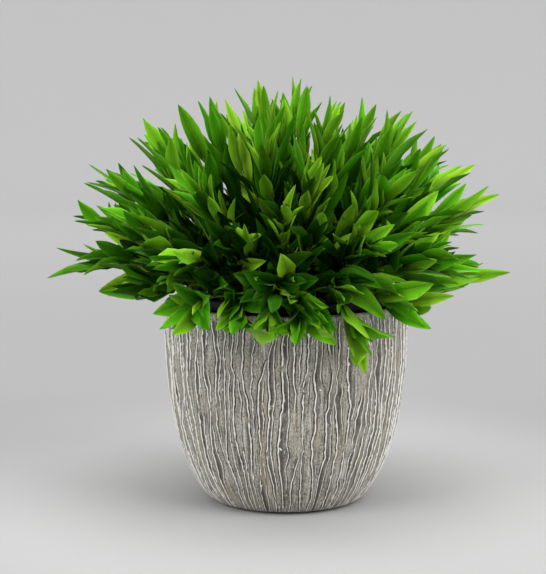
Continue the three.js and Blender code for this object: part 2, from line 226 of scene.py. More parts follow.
def turned(name, section, sides):
    """A closed body turned about Z from (radius, height) pairs in mm, from axis to axis."""
    (_, bottom), *rings, (_, top) = section
    points = [(0, 0, bottom * MM)]
    for radius, height in rings:
        points += ring_points(radius, height, sides)
    points.append((0, 0, top * MM))
    faces = []
    for i in range(sides):
        j = (i + 1) % sides
        faces.append((0, 1 + j, 1 + i))
        for ring in range(len(rings) - 1):
            low, high = 1 + ring * sides, 1 + (ring + 1) * sides
            faces.append((low + i, low + j, high + j, high + i))
        last = 1 + (len(rings) - 1) * sides
        faces.append((last + i, last + j, len(points) - 1))
    made = mesh_object(name, points, faces)
    made.data.shade_smooth()
    return made


# Materials

# Sizes of their patterns. Some real ones are too fine to show, and are drawn as coarse as they
# need to be: the sand of the stoneware is of 0.3 mm, the veins of a blade are 0.3 mm apart, and
# the grain of a mould is of 0.1 mm.
SAND_GRAIN_MM = 0.65
COMB_MARK_MM = (1.4, 1.4, 17.0)
STAIN_MM = (9.0, 9.0, 33.0)
CHIP_MM = 2.4
CHIP_SHARE = 1.4  # how much the chips count beside the crest's height
MOTTLE_MM = 7.0
VEIN_WAVE = 30.0  # in radians, from a blade's midrib to its edge
CULM_STREAK_MM = 3.8
MOULD_GRAIN_MM = 1.4
DUST_MM = 17.0
PEAT_LUMP_MM = 4.5
FIBRE_MM = 1.25


def fineness(size_mm):
    """The scale of a pattern on metres whose spots lie about this many mm apart."""
    return 1000 / size_mm


def new_material(name):
    """A material, its tree and a point's place on the object, which its patterns follow."""
    made = bpy.data.materials.new(name)
    made.use_nodes = True
    place = add_node(made.node_tree, "ShaderNodeTexCoord").outputs["Object"]
    return made, made.node_tree, place


def coated(tree, colour, coats, **ramp):
    """Lays coats over a colour, each given as its pattern, start, end, least, most and own colour.

    The coat's share goes from least to most while the pattern's value goes from start to end.
    """
    for pattern, start, end, least, most, coat in coats:
        share = add_node(
            tree,
            MAP_RANGE,
            {"Value": pattern, "From Min": start, "From Max": end, "To Min": least, "To Max": most},
            **ramp,
        )
        mixed = {"Factor": share, "A": colour, "B": coat}
        colour = add_node(tree, "ShaderNodeMix", mixed, data_type="RGBA")
    return colour


def finished(made, colour, relief, constants):
    """Gives a material's shader its colour, its fine relief and what is the same all over."""
    tree = made.node_tree
    shader = tree.nodes["Principled BSDF"]
    tree.links.new(colour.outputs[2], shader.inputs["Base Color"])
    if relief:
        tree.links.new(relief.outputs[0], shader.inputs["Normal"])
    for name, value in constants.items():
        shader.inputs[name].default_value = value
    return made


def stoneware(settings):
    """Unglazed sandy stoneware, dry and matt: pale rubbed crests, and dark clefts that are partly a dark
    wash and partly painted shadow.
    """
    made, tree, place = new_material("Sand-textured stoneware")
    skin = add_node(tree, ATTRIBUTE, attribute_name="unrolled").outputs["Vector"]
    crest, groove = (
        add_node(tree, ATTRIBUTE, attribute_name=label).outputs["Fac"] for label in ("crest", "groove")
    )
    grain = add_node(tree, NOISE, {"Vector": place, "Scale": fineness(SAND_GRAIN_MM), "Detail": 2.0})
    chips = add_node(tree, NOISE, {"Vector": place, "Scale": fineness(CHIP_MM), "Detail": 3.0})
    marks = []
    for size, detail in ((COMB_MARK_MM, 2.0), (STAIN_MM, 3.0)):
        stretch = {"Vector": skin, "Scale": [fineness(s) for s in size]}
        drawn = add_node(tree, "ShaderNodeMapping", stretch)
        marks.append(add_node(tree, NOISE, {"Vector": drawn, "Scale": 1.0, "Detail": detail}))
    comb, stain = marks
    # A crest is rubbed pale where it stands out, and more so where chips have come off.
    worn = add_node(tree, MATH, {0: chips, 1: CHIP_SHARE, 2: crest}, operation="MULTIPLY_ADD")
    coats = (
        (grain, 0.38, 0.62, 0.0, 1.0, settings.ground_light),
        (comb, 0.54, 0.7, 0.0, 0.36, settings.crest),
        (comb, 0.46, 0.32, 0.0, 0.6, settings.cleft),
        (stain, 0.52, 0.7, 0.0, 0.6, settings.stain),
        # Painted shadow: the cleft beside each crest is painted near black, partly a dark wash and partly
        # the shadow in its groove.
        (groove, 0.1, 0.4, 0.0, 1.0, settings.cleft),
        (worn, 1.0, 1.12, 0.0, 1.0, settings.crest),
    )
    colour = coated(tree, settings.ground_dark, coats)
    sand = add_node(tree, BUMP, {"Height": grain, "Strength": 0.6, "Distance": 0.6 * MM})
    return finished(made, colour, sand, {"Roughness": 0.85})


def blade_skin(settings):
    """A living grass blade: waxy, with a soft shine, fine parallel veins, a pale midrib, pale edges that are
    partly a painted highlight, and painted shade.
    """
    made, tree, place = new_material("Grass blade")
    side, run, shade, youth, under = (
        add_node(tree, ATTRIBUTE, attribute_name=label).outputs["Fac"]
        for label in ("side", "run", "shade", "youth", "under")
    )
    out = add_node(tree, MATH, {0: side}, operation="ABSOLUTE")
    mottle = add_node(tree, NOISE, {"Vector": place, "Scale": fineness(MOTTLE_MM), "Detail": 2.0})
    coats = (
        (youth, 0.0, 1.0, 0.0, 1.0, settings.young),
        (mottle, 0.45, 0.75, 0.0, 0.3, settings.tip),
        (under, 0.0, 1.0, 0.0, 0.4, settings.underside),
        (run, 0.3, 1.1, 0.0, 0.35, settings.tip),
        # Painted shade: each blade is darker towards its midrib.
        (out, 0.1, 0.75, 0.4, 0.0, settings.deep),
        # A pale midrib, and pale edges that are partly the blade's own margin and partly a painted
        # highlight.
        (out, 0.0, 0.1, 0.22, 0.0, settings.rib_and_edge_highlight),
        (out, 0.8, 1.0, 0.0, 0.5, settings.rib_and_edge_highlight),
        # Painted shade: mixed towards the deep green where the blade's shade value says little light reaches
        # it, and at its foot, deep in the clump.
        (shade, 0.0, 1.0, 0.95, 0.0, settings.deep),
        (run, 0.0, 0.55, 0.8, 0.0, settings.deep),
    )
    colour = coated(tree, settings.mature, coats)
    waves = add_node(tree, MATH, {0: out, 1: VEIN_WAVE}, operation="MULTIPLY")
    veins = add_node(tree, MATH, {0: waves}, operation="SINE")
    relief = add_node(tree, BUMP, {"Height": veins, "Strength": 0.35, "Distance": 0.1 * MM})
    shine = {"Roughness": 0.32, "Specular IOR Level": 0.24, "Specular Tint": opaque(settings.sheen)}
    return finished(made, colour, relief, shine)


def culm_skin(settings):
    """A thin living grass culm: smooth and green, browner and darker at its foot, partly its own colour and
    partly painted shade low in the clump.
    """
    made, tree, place = new_material("Grass culm")
    height = add_node(tree, ATTRIBUTE, attribute_name="height").outputs["Fac"]
    streak = add_node(tree, NOISE, {"Vector": place, "Scale": fineness(CULM_STREAK_MM), "Detail": 2.0})
    coats = (
        (streak, 0.0, 1.0, 0.0, 1.0, settings.young),
        (height, 0.05, 0.4, 1.0, 0.0, settings.culm_foot_and_shade),
    )
    return finished(made, coated(tree, settings.culm, coats), None, {"Roughness": 0.5})


def black_plastic(settings):
    """Moulded polypropylene, black and slightly satin, with the fine grain of its mould."""
    made, tree, place = new_material("Moulded polypropylene")
    grain = add_node(tree, NOISE, {"Vector": place, "Scale": fineness(MOULD_GRAIN_MM), "Detail": 2.0})
    dust = add_node(tree, NOISE, {"Vector": place, "Scale": fineness(DUST_MM), "Detail": 4.0})
    colour = coated(tree, settings.plastic, ((dust, 0.5, 0.8, 0.0, 0.25, settings.dust),))
    relief = add_node(tree, BUMP, {"Height": grain, "Strength": 0.25, "Distance": 0.2 * MM})
    return finished(made, colour, relief, {"Roughness": 0.55, "Specular IOR Level": 0.3, "IOR": 1.49})


def peat(settings):
    """Damp potting soil: dark brown peat with lighter fibres, quite matt."""
    made, tree, place = new_material("Peat potting soil")
    lumpy = {"Vector": place, "Scale": fineness(PEAT_LUMP_MM), "Detail": 6.0, "Roughness": 0.7}
    fibrous = {"Vector": place, "Scale": fineness(FIBRE_MM), "Detail": 2.0, "Distortion": 2.0}
    lumps, fibres = (add_node(tree, NOISE, pattern) for pattern in (lumpy, fibrous))
    coats = (
        (lumps, 0.0, 1.0, 0.0, 1.0, settings.soil),
        (fibres, 0.6, 0.72, 0.0, 0.6, settings.fibre),
    )
    relief = add_node(tree, BUMP, {"Height": lumps, "Strength": 0.8, "Distance": 2 * MM})
    return finished(made, coated(tree, settings.soil_dark, coats), relief, {"Roughness": 0.92})


def backdrop_paper(settings):
    """Matt studio paper with painted light: lighter round the pot, which lightens its shadow, darker a
    little farther out, and lighter far behind, so that it looks even in the picture.
    """
    made, tree, place = new_material("Matt backdrop paper")
    far = add_node(tree, VECTOR_MATH, {0: place}, operation="LENGTH").outputs["Value"]
    coats = (
        (far, 0.04, 0.38, 0.0, 1.0, settings.floor),
        (far, 0.35, 2.65, 0.0, 1.0, settings.wall),
    )
    colour = coated(tree, settings.near, coats, interpolation_type="SMOOTHSTEP")
    return finished(made, colour, None, {"Roughness": 0.95})


# Cover pot

POT_ROWS = 122
RIM_ROUND_MM = 1.6
SHADOW_GAP_MM = 4.5  # the foot is set in by this much, so that a dark line shows under the pot
SHADOW_GAP_RISE_MM = (1.7, 0.5)  # the heights between which the outside draws in to the foot
RELIEF_TOP_MM = (1.5, 6.5)  # the relief fades out between these depths under the rim
RELIEF_FOOT_MM = (0.2, 3.0)  # and between these heights over its foot

# Numbers that keep the draws for different things apart.
SLOW, QUICK = 1, 2
JAG, FINE_JAG, FADING, FINE_FADING = 21, 22, 23, 24
FORK, CROTCH, SPREAD, UPWARD = 31, 32, 33, 34
TURNED_OVER = 41
LESSER_FADING, LESSER_DRIFT = 61, 62

# Jagged lines on the ridges: sideways size in ridge spacings, or share of the fading, and the
# height in mm between two corners.
JAG_SIZE, JAG_STEP_MM = 0.1, 7.0
FINE_JAG_SIZE, FINE_JAG_STEP_MM = 0.06, 3.2
FADING_STEP_MM = 11.0
FINE_FADING_SHARE, FINE_FADING_STEP_MM = 0.4, 3.1

# A fork: how many ridges have one, at what height its crotch is, over what height it leans over and
# comes back, how near it comes to its neighbour, and how many forks open upwards.
FORK_SHARE = 0.36
CROTCH_LOW_MM, CROTCH_RANGE_MM = 18, 92
SPREAD_LEAST_MM, SPREAD_RANGE_MM = 13, 14
FORK_RETURN_MM = 30
FORK_REACH = 0.86
UPWARD_SHARE = 0.6

# Columns of one ridge, from left to right: place in spacings, crest height, cleft depth.
RIDGE_SECTION = [
    (-0.078, 0.12, 0.35),
    (0.0, 1.0, 0.0),
    (0.07, 0.3, 0.3),
    (0.122, 0.0, 1.0),
    (0.19, 0.0, 0.0),
]
TURNED_OVER_SHARE = 0.4
# Columns of the lesser ridge that comes and goes in the ground between two ridges: the same three.
LESSER_SECTION = [(-0.065, 0.0, 0.25), (0.0, 0.8, 0.0), (0.068, 0.0, 0.8), (0.14, 0.0, 0.0)]
LESSER_PLACE = 0.44
LESSER_WANDER, LESSER_WANDER_STEP_MM = 0.13, 8.0
LESSER_STEP_MM = 17.0
LEAST_GAP = 0.65


def pot_radius(z):
    """Outer radius of the pot in mm at a height in mm, over the crests."""
    t = np.clip(z / POT_HEIGHT_MM, 0, 1)
    rise = (1 - (1 - t) ** BELLY_RISE) ** (1 / BELLY_ROUND)
    return FOOT_RADIUS_MM + (RIM_RADIUS_MM - FOOT_RADIUS_MM) * rise


def broken_line(index, z, step, seed):
    """A jagged line from -1 to 1 along z for each index, with a corner at every step."""
    at = z[:, None] / step + draw(index, seed, 5)
    low = np.floor(at)
    first, second = draw(index, low, seed), draw(index, low + 1, seed)
    return 2 * (first + (second - first) * (at - low)) - 1


def next_place(place):
    """The place of the next ridge to the right of each, counted on past the last one."""
    moved = np.roll(place, -1, axis=1)
    moved[:, -1] += RIDGES
    return moved


def ridge_lines(z):
    """Place of each ridge in ridge spacings, and how strong it is, at each height."""
    index = np.arange(RIDGES)
    slow = np.sin(z[:, None] * SLOW_WANDER + TURN * draw(2 * index, SLOW, 0))
    quick = np.sin(z[:, None] * QUICK_WANDER + TURN * draw(2 * index, QUICK, 0))
    place = index + RIDGE_WANDER * ((1 - QUICK_SHARE) * slow + QUICK_SHARE * quick)
    place = place + JAG_SIZE * broken_line(index, z, JAG_STEP_MM, JAG)
    place = place + FINE_JAG_SIZE * broken_line(index, z, FINE_JAG_STEP_MM, FINE_JAG)
    fading = broken_line(index, z, FADING_STEP_MM, FADING)
    fading = fading + FINE_FADING_SHARE * broken_line(index, z, FINE_FADING_STEP_MM, FINE_FADING)
    strength = smooth(-1.35, -0.35, fading)
    # A ridge that forks leans over to its right neighbour, joins it and comes back faded.
    forks = (draw(index, FORK, 7) < FORK_SHARE) & (draw(index + 1, FORK, 7) >= FORK_SHARE)
    crotch = CROTCH_LOW_MM + CROTCH_RANGE_MM * draw(index, CROTCH, 7)
    spread = SPREAD_LEAST_MM + SPREAD_RANGE_MM * draw(index, SPREAD, 7)
    upward = np.where(draw(index, UPWARD, 7) < UPWARD_SHARE, 1.0, -1.0)
    out = (z[:, None] - crotch) * upward
    lean = np.where(out > 0, np.clip(1 - out / spread, 0, 1), np.clip(1 + out / FORK_RETURN_MM, 0, 1))
    place = place + np.where(forks, FORK_REACH * lean * (next_place(place) - place), 0)
    faded = smooth(-2.0, 3.0, out) + smooth(-24.0, -38.0, -np.abs(out)) * (out < 0)
    return place, strength * np.where(forks, np.clip(faded, 0, 1), 1)


def ridge_columns(z):
    """Angle, crest, cleft and ground swell of every column of the pot's outside, at each height."""
    place, strength = ridge_lines(z)
    index = np.arange(RIDGES)
    right = next_place(place) - place
    left = np.roll(right, 1, axis=1)
    turned_over = draw(index, TURNED_OVER, 3) < TURNED_OVER_SHARE
    columns = []
    for plain, mirrored in zip(RIDGE_SECTION, reversed(RIDGE_SECTION)):
        offset = np.where(turned_over, -mirrored[0], plain[0])
        crest, cleft = (np.where(turned_over, mirrored[part], plain[part]) for part in (1, 2))
        room = np.minimum(np.where(offset < 0, left, right), 1.0)
        at = place + offset * room
        columns.append((at, crest * strength, cleft * strength, 0 * at))
    ends = columns[-1][0]
    gap = next_place(columns[0][0]) - ends
    fading = broken_line(index, z, LESSER_STEP_MM, LESSER_FADING)
    lesser = smooth(-0.65, 0.0, fading) * smooth(0.45, 0.6, gap)
    drift = LESSER_WANDER * broken_line(index, z, LESSER_WANDER_STEP_MM, LESSER_DRIFT)
    for offset, crest, cleft in LESSER_SECTION:
        moved = LESSER_PLACE + drift + offset / np.maximum(gap, LEAST_GAP)
        columns.append((ends + gap * moved, crest * lesser, cleft * lesser, np.sin(math.pi * moved)))
    place, crest, cleft, swell = (np.stack(part, axis=2).reshape(len(z), -1) for part in zip(*columns))
    return place * TURN / RIDGES, crest, cleft, swell


def outer_rows(count):
    """Heights of the rows of the pot's outside, evenly spaced along its curve."""
    z = np.linspace(0, POT_HEIGHT_MM, 4000)
    r = pot_radius(z)
    run = np.concatenate([[0], np.cumsum(np.hypot(np.diff(z), np.diff(r)))])
    return np.interp(np.linspace(0, run[-1], count), run, z)


def pot_inside():
    """The plain rings of the pot from its rim over the edge and down to its floor."""
    outer, inner = RIM_RADIUS_MM - GROUND_SINK_MM, RIM_RADIUS_MM - WALL_MM
    return [
        (outer - 0.25, POT_HEIGHT_MM - 0.7),
        (outer - 0.8, POT_HEIGHT_MM - 0.2),
        (outer - RIM_ROUND_MM, POT_HEIGHT_MM),
        (inner + RIM_ROUND_MM, POT_HEIGHT_MM),
        (inner + 0.5, POT_HEIGHT_MM - 0.3),
        (inner, POT_HEIGHT_MM - RIM_ROUND_MM),
        *((float(pot_radius(height)) - WALL_MM, height) for height in (95.0, 59.0, 30.0)),
        (float(pot_radius(14.0)) - WALL_MM - 1.5, 14.0),
        (float(pot_radius(FLOOR_MM)) - WALL_MM - 6.0, FLOOR_MM),
    ]


def cover_pot_sheet():
    """The pot's closed skin, its outside still plain, with what the relief follows on its points."""
    z = outer_rows(POT_ROWS)[1:-1]
    angle, *forms = ridge_columns(z)
    relief = smooth(*(POT_HEIGHT_MM - depth for depth in RELIEF_TOP_MM), z) * smooth(*RELIEF_FOOT_MM, z)
    radius = pot_radius(z) - GROUND_SINK_MM - SHADOW_GAP_MM * smooth(*SHADOW_GAP_RISE_MM, z)
    foot = FOOT_RADIUS_MM - SHADOW_GAP_MM
    zero = np.zeros(angle.shape[1])
    below = ((foot - 1.4, 0.0), (foot - 1.0, 0.12))
    rings = [(angle[0], zero + r, zero + h, zero, zero, zero) for r, h in below]
    for i, height in enumerate(z):
        raised = (form[i] * relief[i] for form in forms)
        rings.append((angle[i], zero + radius[i], zero + height, *raised))
    rings += [(angle[-1], zero + r, zero + h, zero, zero, zero) for r, h in pot_inside()]
    angles, radii, heights, *forms = (np.concatenate(part) for part in zip(*rings))
    east, north = np.cos(angles), np.sin(angles)
    points = np.stack([radii * east, radii * north, heights], axis=1) * MM
    points = np.concatenate([points, [[0, 0, 0], [0, 0, FLOOR_MM * MM]]])
    base, floor = len(points) - 2, len(points) - 1

    around = np.arange(len(zero))
    following = (around + 1) % len(zero)
    top = (len(rings) - 1) * len(zero)
    faces = []
    for low in range(0, top, len(zero)):
        high = low + len(zero)
        corners = [low + around, low + following, high + following, high + around]
        faces += np.stack(corners, axis=1).tolist()
    pairs = list(zip(around.tolist(), following.tolist()))
    faces += [(base, j, i) for i, j in pairs]
    faces += [(top + i, top + j, floor) for i, j in pairs]

    values = {label: [*form, 0, 0] for label, form in zip(("crest", "groove", "swell"), forms)}
    # The skin unrolled: round the rim's circle, and upwards by the way along the section.
    steps = [math.hypot(b[1][0] - a[1][0], b[2][0] - a[2][0]) for a, b in zip(rings, rings[1:])]
    run = np.repeat(np.cumsum([0, *steps]), len(zero))
    unrolled = np.stack([RIM_RADIUS_MM * east, RIM_RADIUS_MM * north, run], axis=1) * MM
    values["unrolled"] = np.concatenate([unrolled, [[0, 0, 0], [0, 0, run[-1] * MM]]])
    return mesh_object("cover_pot_relief", points, faces, values=values)


def relief_tree(material):
    """Raises the crests and sinks the clefts of the pot's outside, straight away from its axis."""
    sizes = {"crest": "Ridge height", "groove": "Cleft depth", "swell": "Ground swell"}
    tree, given, result = new_tree("Bark relief", dict.fromkeys(sizes.values(), "Float"))
    where = add_node(tree, "GeometryNodeInputPosition")
    flat = add_node(tree, VECTOR_MATH, {0: where, 1: (1.0, 1.0, 0.0)}, operation="MULTIPLY")
    outward = add_node(tree, VECTOR_MATH, {0: flat}, operation="NORMALIZE")
    raised = 0.0
    for label, size in sizes.items():
        value = add_node(tree, "GeometryNodeInputNamedAttribute", {"Name": label}, data_type="FLOAT")
        raised = add_node(tree, MATH, {0: value, 1: given[size], 2: raised}, operation="MULTIPLY_ADD")
    offset = add_node(tree, VECTOR_MATH, {0: outward, "Scale": raised}, operation="SCALE")
    moved = add_node(tree, SET_POSITION, {"Geometry": given["Geometry"], "Offset": offset})
    whole = add_node(tree, "GeometryNodeRealizeInstances", {"Geometry": moved})
    finish = add_node(tree, SET_MATERIAL, {"Geometry": whole, "Material": material})
    tree.links.new(finish.outputs[0], result[0])
    return tree


# Soil

SOIL_INSET_MM = 6.0  # the soil's edge lies this far inside the lip of the nursery pot
SOIL_BOTTOM_MM = 60.0
SOIL_RINGS = 26
SOIL_SIDES = 84
SOIL_LUMP_MM = 11.0
CRUMB_KNOB_MM = 1.4
CRUMB_KNOB_HEIGHT_MM = 1.6
TOP_FACING = 0.6  # faces whose normals point upwards by more than this are the soil's top
LEVEL_LUMP = 0.75  # the value of the lumps' pattern that leaves the top where it is
LEAST_CRUMB, LARGEST_CRUMB = (0.35, 0.35, 0.3), (1.2, 1.0, 0.8)


def soil_height(radius):
    """Height of the soil's top in mm at a distance in mm from its middle."""
    return SOIL_CROWN_MM - (SOIL_CROWN_MM - SOIL_EDGE_MM) * (radius / LIP_RADIUS_MM) ** 2


def soil_sheet():
    """The closed body of the soil, its top in fine rings so that it can be roughened."""
    edge = LIP_RADIUS_MM - SOIL_INSET_MM
    section = [
        (0, SOIL_BOTTOM_MM),
        (edge - 12.0, SOIL_BOTTOM_MM),
        (edge - 1.5, SOIL_EDGE_MM - 14),
        (edge, SOIL_EDGE_MM - 1.0),
    ]
    radii = [edge * (1 - (i + 0.5) / SOIL_RINGS) for i in range(SOIL_RINGS)]
    section += [(radius, soil_height(radius)) for radius in radii]
    return turned("soil_body", [*section, (0, SOIL_CROWN_MM)], SOIL_SIDES)


def soil_tree(material):
    """Roughens the top of the soil and strews crumbs over it."""
    sizes = {"Roughness": "Float", "Crumb size": "Float", "Crumbs": "Float", "Seed": "Int"}
    tree, given, result = new_tree("Crumbly soil", sizes)
    normal = add_node(tree, "GeometryNodeInputNormal")
    upright = add_node(tree, "ShaderNodeSeparateXYZ", {0: normal}).outputs[2]
    is_top = add_node(tree, "FunctionNodeCompare", {0: upright, 1: TOP_FACING}, operation="GREATER_THAN")
    lumpy = {"Scale": fineness(SOIL_LUMP_MM), "Detail": 5.0, "Roughness": 0.65}
    lumps = add_node(tree, NOISE, lumpy)
    sunk = add_node(tree, MATH, {0: lumps, 1: LEVEL_LUMP}, operation="SUBTRACT")
    depth = add_node(tree, MATH, {0: sunk, 1: given["Roughness"]}, operation="MULTIPLY")
    offset = add_node(tree, "ShaderNodeCombineXYZ", {2: depth})
    top = {"Geometry": given["Geometry"], "Selection": is_top, "Offset": offset}
    rough = add_node(tree, SET_POSITION, top)
    strewn = {"Mesh": rough, "Selection": is_top, "Density": given["Crumbs"], "Seed": given["Seed"]}
    spots = add_node(tree, "GeometryNodeDistributePointsOnFaces", strewn)
    ball = add_node(tree, "GeometryNodeMeshIcoSphere", {"Radius": given["Crumb size"], "Subdivisions": 2})
    size, spin = (
        add_node(
            tree,
            "FunctionNodeRandomValue",
            {0: least, 1: most, "Seed": given["Seed"]},
            data_type="FLOAT_VECTOR",
        )
        for least, most in ((LEAST_CRUMB, LARGEST_CRUMB), ((0.0, 0.0, 0.0), (TURN, TURN, TURN)))
    )
    strewn = {"Points": spots, "Instance": ball, "Rotation": spin, "Scale": size}
    crumbs = add_node(tree, "GeometryNodeInstanceOnPoints", strewn)
    real = add_node(tree, "GeometryNodeRealizeInstances", {"Geometry": crumbs})
    knobs = add_node(tree, NOISE, {"Scale": fineness(CRUMB_KNOB_MM), "Detail": 1.0}).outputs[1]
    centred = add_node(tree, VECTOR_MATH, {0: knobs, 1: (0.5, 0.5, 0.5)}, operation="SUBTRACT")
    height = CRUMB_KNOB_HEIGHT_MM * MM
    push = add_node(tree, VECTOR_MATH, {0: centred, "Scale": height}, operation="SCALE")
    knobbly = add_node(tree, SET_POSITION, {"Geometry": real, "Offset": push})
    both = add_node(tree, "GeometryNodeJoinGeometry", {"Geometry": rough})
    tree.links.new(knobbly.outputs[0], both.inputs[0])
    whole = add_node(tree, "GeometryNodeRealizeInstances", {"Geometry": both})
    finish = add_node(tree, SET_MATERIAL, {"Geometry": whole, "Material": material})
    tree.links.new(finish.outputs[0], result[0])
    return tree


# Nursery pot


def nursery_pot_section():
    """The pot's section in mm: up its outside, over its turned-out lip and down its inside."""
    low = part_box("nursery_pot")[0].z / MM
    top, lip, foot, wall = LIP_TOP_MM, LIP_RADIUS_MM, NURSERY_FOOT_MM, NURSERY_WALL_MM
    taper = (lip - LIP_WIDTH_MM - foot) / (top - low)
    inner = lip - LIP_WIDTH_MM - wall
    return [
        (0, low),
        (foot - 1.4, low),
        (foot - 0.3, low + 0.4),
        (foot, low + 1.4),
        (foot + taper * (top - 8 - low), top - 8),
        (foot + taper * (top - 7 - low), top - 7.1),
        (lip - 0.6, top - 6.9),
        (lip - 0.1, top - 6.4),
        (lip, top - 5.6),
        (lip, top - 1.2),
        (lip - 0.3, top - 0.4),
        (lip - 1.0, top),
        (inner + 0.9, top),
        (inner + 0.2, top - 0.3),
        (inner, top - 1.0),
        (foot - wall + taper * (SOIL_BOTTOM_MM - low), SOIL_BOTTOM_MM),
        (foot - wall, low + 3.0),
        (foot - 1 - wall, low + wall),
        (0, low + wall),
    ]


# Leafy culms

WELD = 1e-5  # corners of a CAD mesh that are nearer to each other than this, in metres, are one
CULM_POINTS = 48
BRANCH_POINTS = 22

# How far blades keep from the pots and the soil.
POT_ROOM_MM = 3.0
EDGE_ROOM_MM = 1.5
LIP_ROOM_MM = 8.0
SOIL_ROOM_MM = 2.0
# Where a blade is tested for that: shares of its length, and of its width to both sides.
TESTED_PLACES = ((0.3, 0.45), (0.5, 0.6), (0.7, 0.55), (0.85, 0.4), (1.0, 0.0))

# The direction of a culm's end tells its kind: a low one points less upwards than this.
LOW_CULM = 0.4
# A culm that ends higher than this belongs to the crown.
CROWN_MM = 205.0
# A culm that ends nearer to the middle of the dome than this belongs to its inside.
INSIDE_MM = 82.0

# How low blades may hang round the pot, in mm: in front, how much higher at the left and right, how
# much lower behind, and how much that differs from one place to the next.
HEM_MM = 119.0
HEM_RISE_MM = 22.0
HEM_DROP_MM = 7.0
HEM_SWAY_MM = 9.0
# The hem lies below this height, and reaches this far past the rim.
HEM_TOP_MM, HEM_REACH_MM = 152.0, 13.0
# From where on a direction counts as left or right, and as behind: its share that way.
SIDEWAYS, BEHIND = (0.5, 0.92), (0.2, 0.7)
# Directions in which a few blades hang lower over the rim, and by how many mm.
HANGING_SPRAYS = ((-1.08, 20), (1.1, 20), (2.95, 16))
SPRAY_EDGE = (0.34, 0.1)  # radians from its direction between which a spray sets in

# A blade of a row: its angle from the culm in radians, at the culm's foot and how much less at its
# end, how much it turns up, its least bend and size, and the last one's place along the culm.
OPENING, OPENING_LOSS = 0.64, 0.32
LIFT = 0.16
LEAST_BEND, BEND_RANGE = 0.05, 0.5
LEAST_SIZE = 0.78
LAST_PLACE = 0.99
# A shoot: the same for its angle and size, its width against a blade's, its bend and its fold.
SHOOT_OPENING, SHOOT_OPENING_RANGE = 0.14, 0.3
SHOOT_LIFT = 0.12
SHOOT_SIZE, SHOOT_SIZE_RANGE = 0.5, 0.3
SHOOT_WIDTH = 0.42
SHOOT_BEND = 0.1
SHOOT_FOLD = 1.1
# A blade in the way is turned up in small steps and then made shorter.
TURN_STEP, TURN_STEPS = 0.1, 14
SHORTER = (1.0, 0.87, 0.74, 0.62)

# The shaded hollow in the middle of the front: its place and half its size, to the right and up.
HOLLOW_PLACE_MM = (-6, 181)
HOLLOW_SIZE_MM = (40, 37)

# Side branches: where they begin, how far their ends stand from the culm, and how far they stay
# behind its end.
BRANCH_START, BRANCH_START_RANGE = 0.34, 0.2  # shares of the culm
BRANCH_REACH_MM, BRANCH_REACH_RANGE_MM = 17, 11
BRANCH_LAG_MM, BRANCH_LAG_RANGE_MM = 2, 16


def read_leafy_stem(node):
    """The centres of the culm's rings and the corners of its blades, read from the CAD solid."""
    welded = bmesh.new()
    welded.from_mesh(node.data)
    bmesh.ops.remove_doubles(welded, verts=welded.verts[:], dist=WELD)
    welded.verts.ensure_lookup_table()
    welded.verts.index_update()
    places = np.array([v.co[:] for v in welded.verts])
    links = [{e.other_vert(v).index for e in v.link_edges} for v in welded.verts]
    welded.free()
    blades, leafy = [], set()
    for tip in (i for i, near in enumerate(links) if len(near) == 3):
        broad = links[tip]
        narrow = set().union(*(links[i] for i in broad)) - broad - {tip}
        foot = set().union(*(links[i] for i in narrow)) - narrow - broad
        leafy |= {tip} | broad | narrow
        blades.append((places[list(foot)].mean(0), places[list(broad)], places[tip]))
    tube = set(range(len(places))) - leafy
    inside = [i for i in tube if np.hypot(*places[i][:2]) < LIP_RADIUS_MM * MM]
    ring = set(sorted(inside, key=lambda i: places[i][2])[:3])
    seen, centres = set(), []
    while ring:
        centres.append(places[list(ring)].mean(0))
        seen |= ring
        ring = set().union(*(links[i] for i in ring)) & tube - seen
    return np.array(centres), blades


def blade_from_corners(foot, broad, tip):
    """A blade's own frame and sizes, from the corners of its CAD solid."""
    pairs = [(0, 1, 2), (1, 2, 0), (2, 0, 1)]
    a, b, keel = max(pairs, key=lambda p: np.linalg.norm(broad[p[0]] - broad[p[1]]))
    chord = tip - foot
    length = np.linalg.norm(chord)
    along = chord / length
    across = broad[b] - broad[a]
    width = np.linalg.norm(across)
    across = unit(across - along * across.dot(along))
    facing = np.cross(across, along)
    middle = (broad[a] + broad[b]) / 2
    if facing.dot(middle - broad[keel]) < 0:
        across, facing = -across, -facing
    bend = 8 * facing.dot(middle - foot) / length
    return new_blade(foot, along, across, length, width, bend)


def new_blade(foot, along, across, length, width, bend):
    """A blade whose chord runs along; its first part rises by half its bend and its tip falls back."""
    facing = np.cross(across, along)
    half = bend / 2
    return {
        "foot": foot,
        "chord": along,
        "along": math.cos(half) * along + math.sin(half) * facing,
        "across": across,
        "facing": math.cos(half) * facing - math.sin(half) * along,
        "length": length,
        "width": width,
        "bend": bend,
    }


def blade_point(blade, share):
    """The place on a blade's middle line at a share of its length."""
    turn = blade["bend"] * share / 2
    way = math.cos(turn) * blade["along"] - math.sin(turn) * blade["facing"]
    return blade["foot"] + blade["length"] * share * way


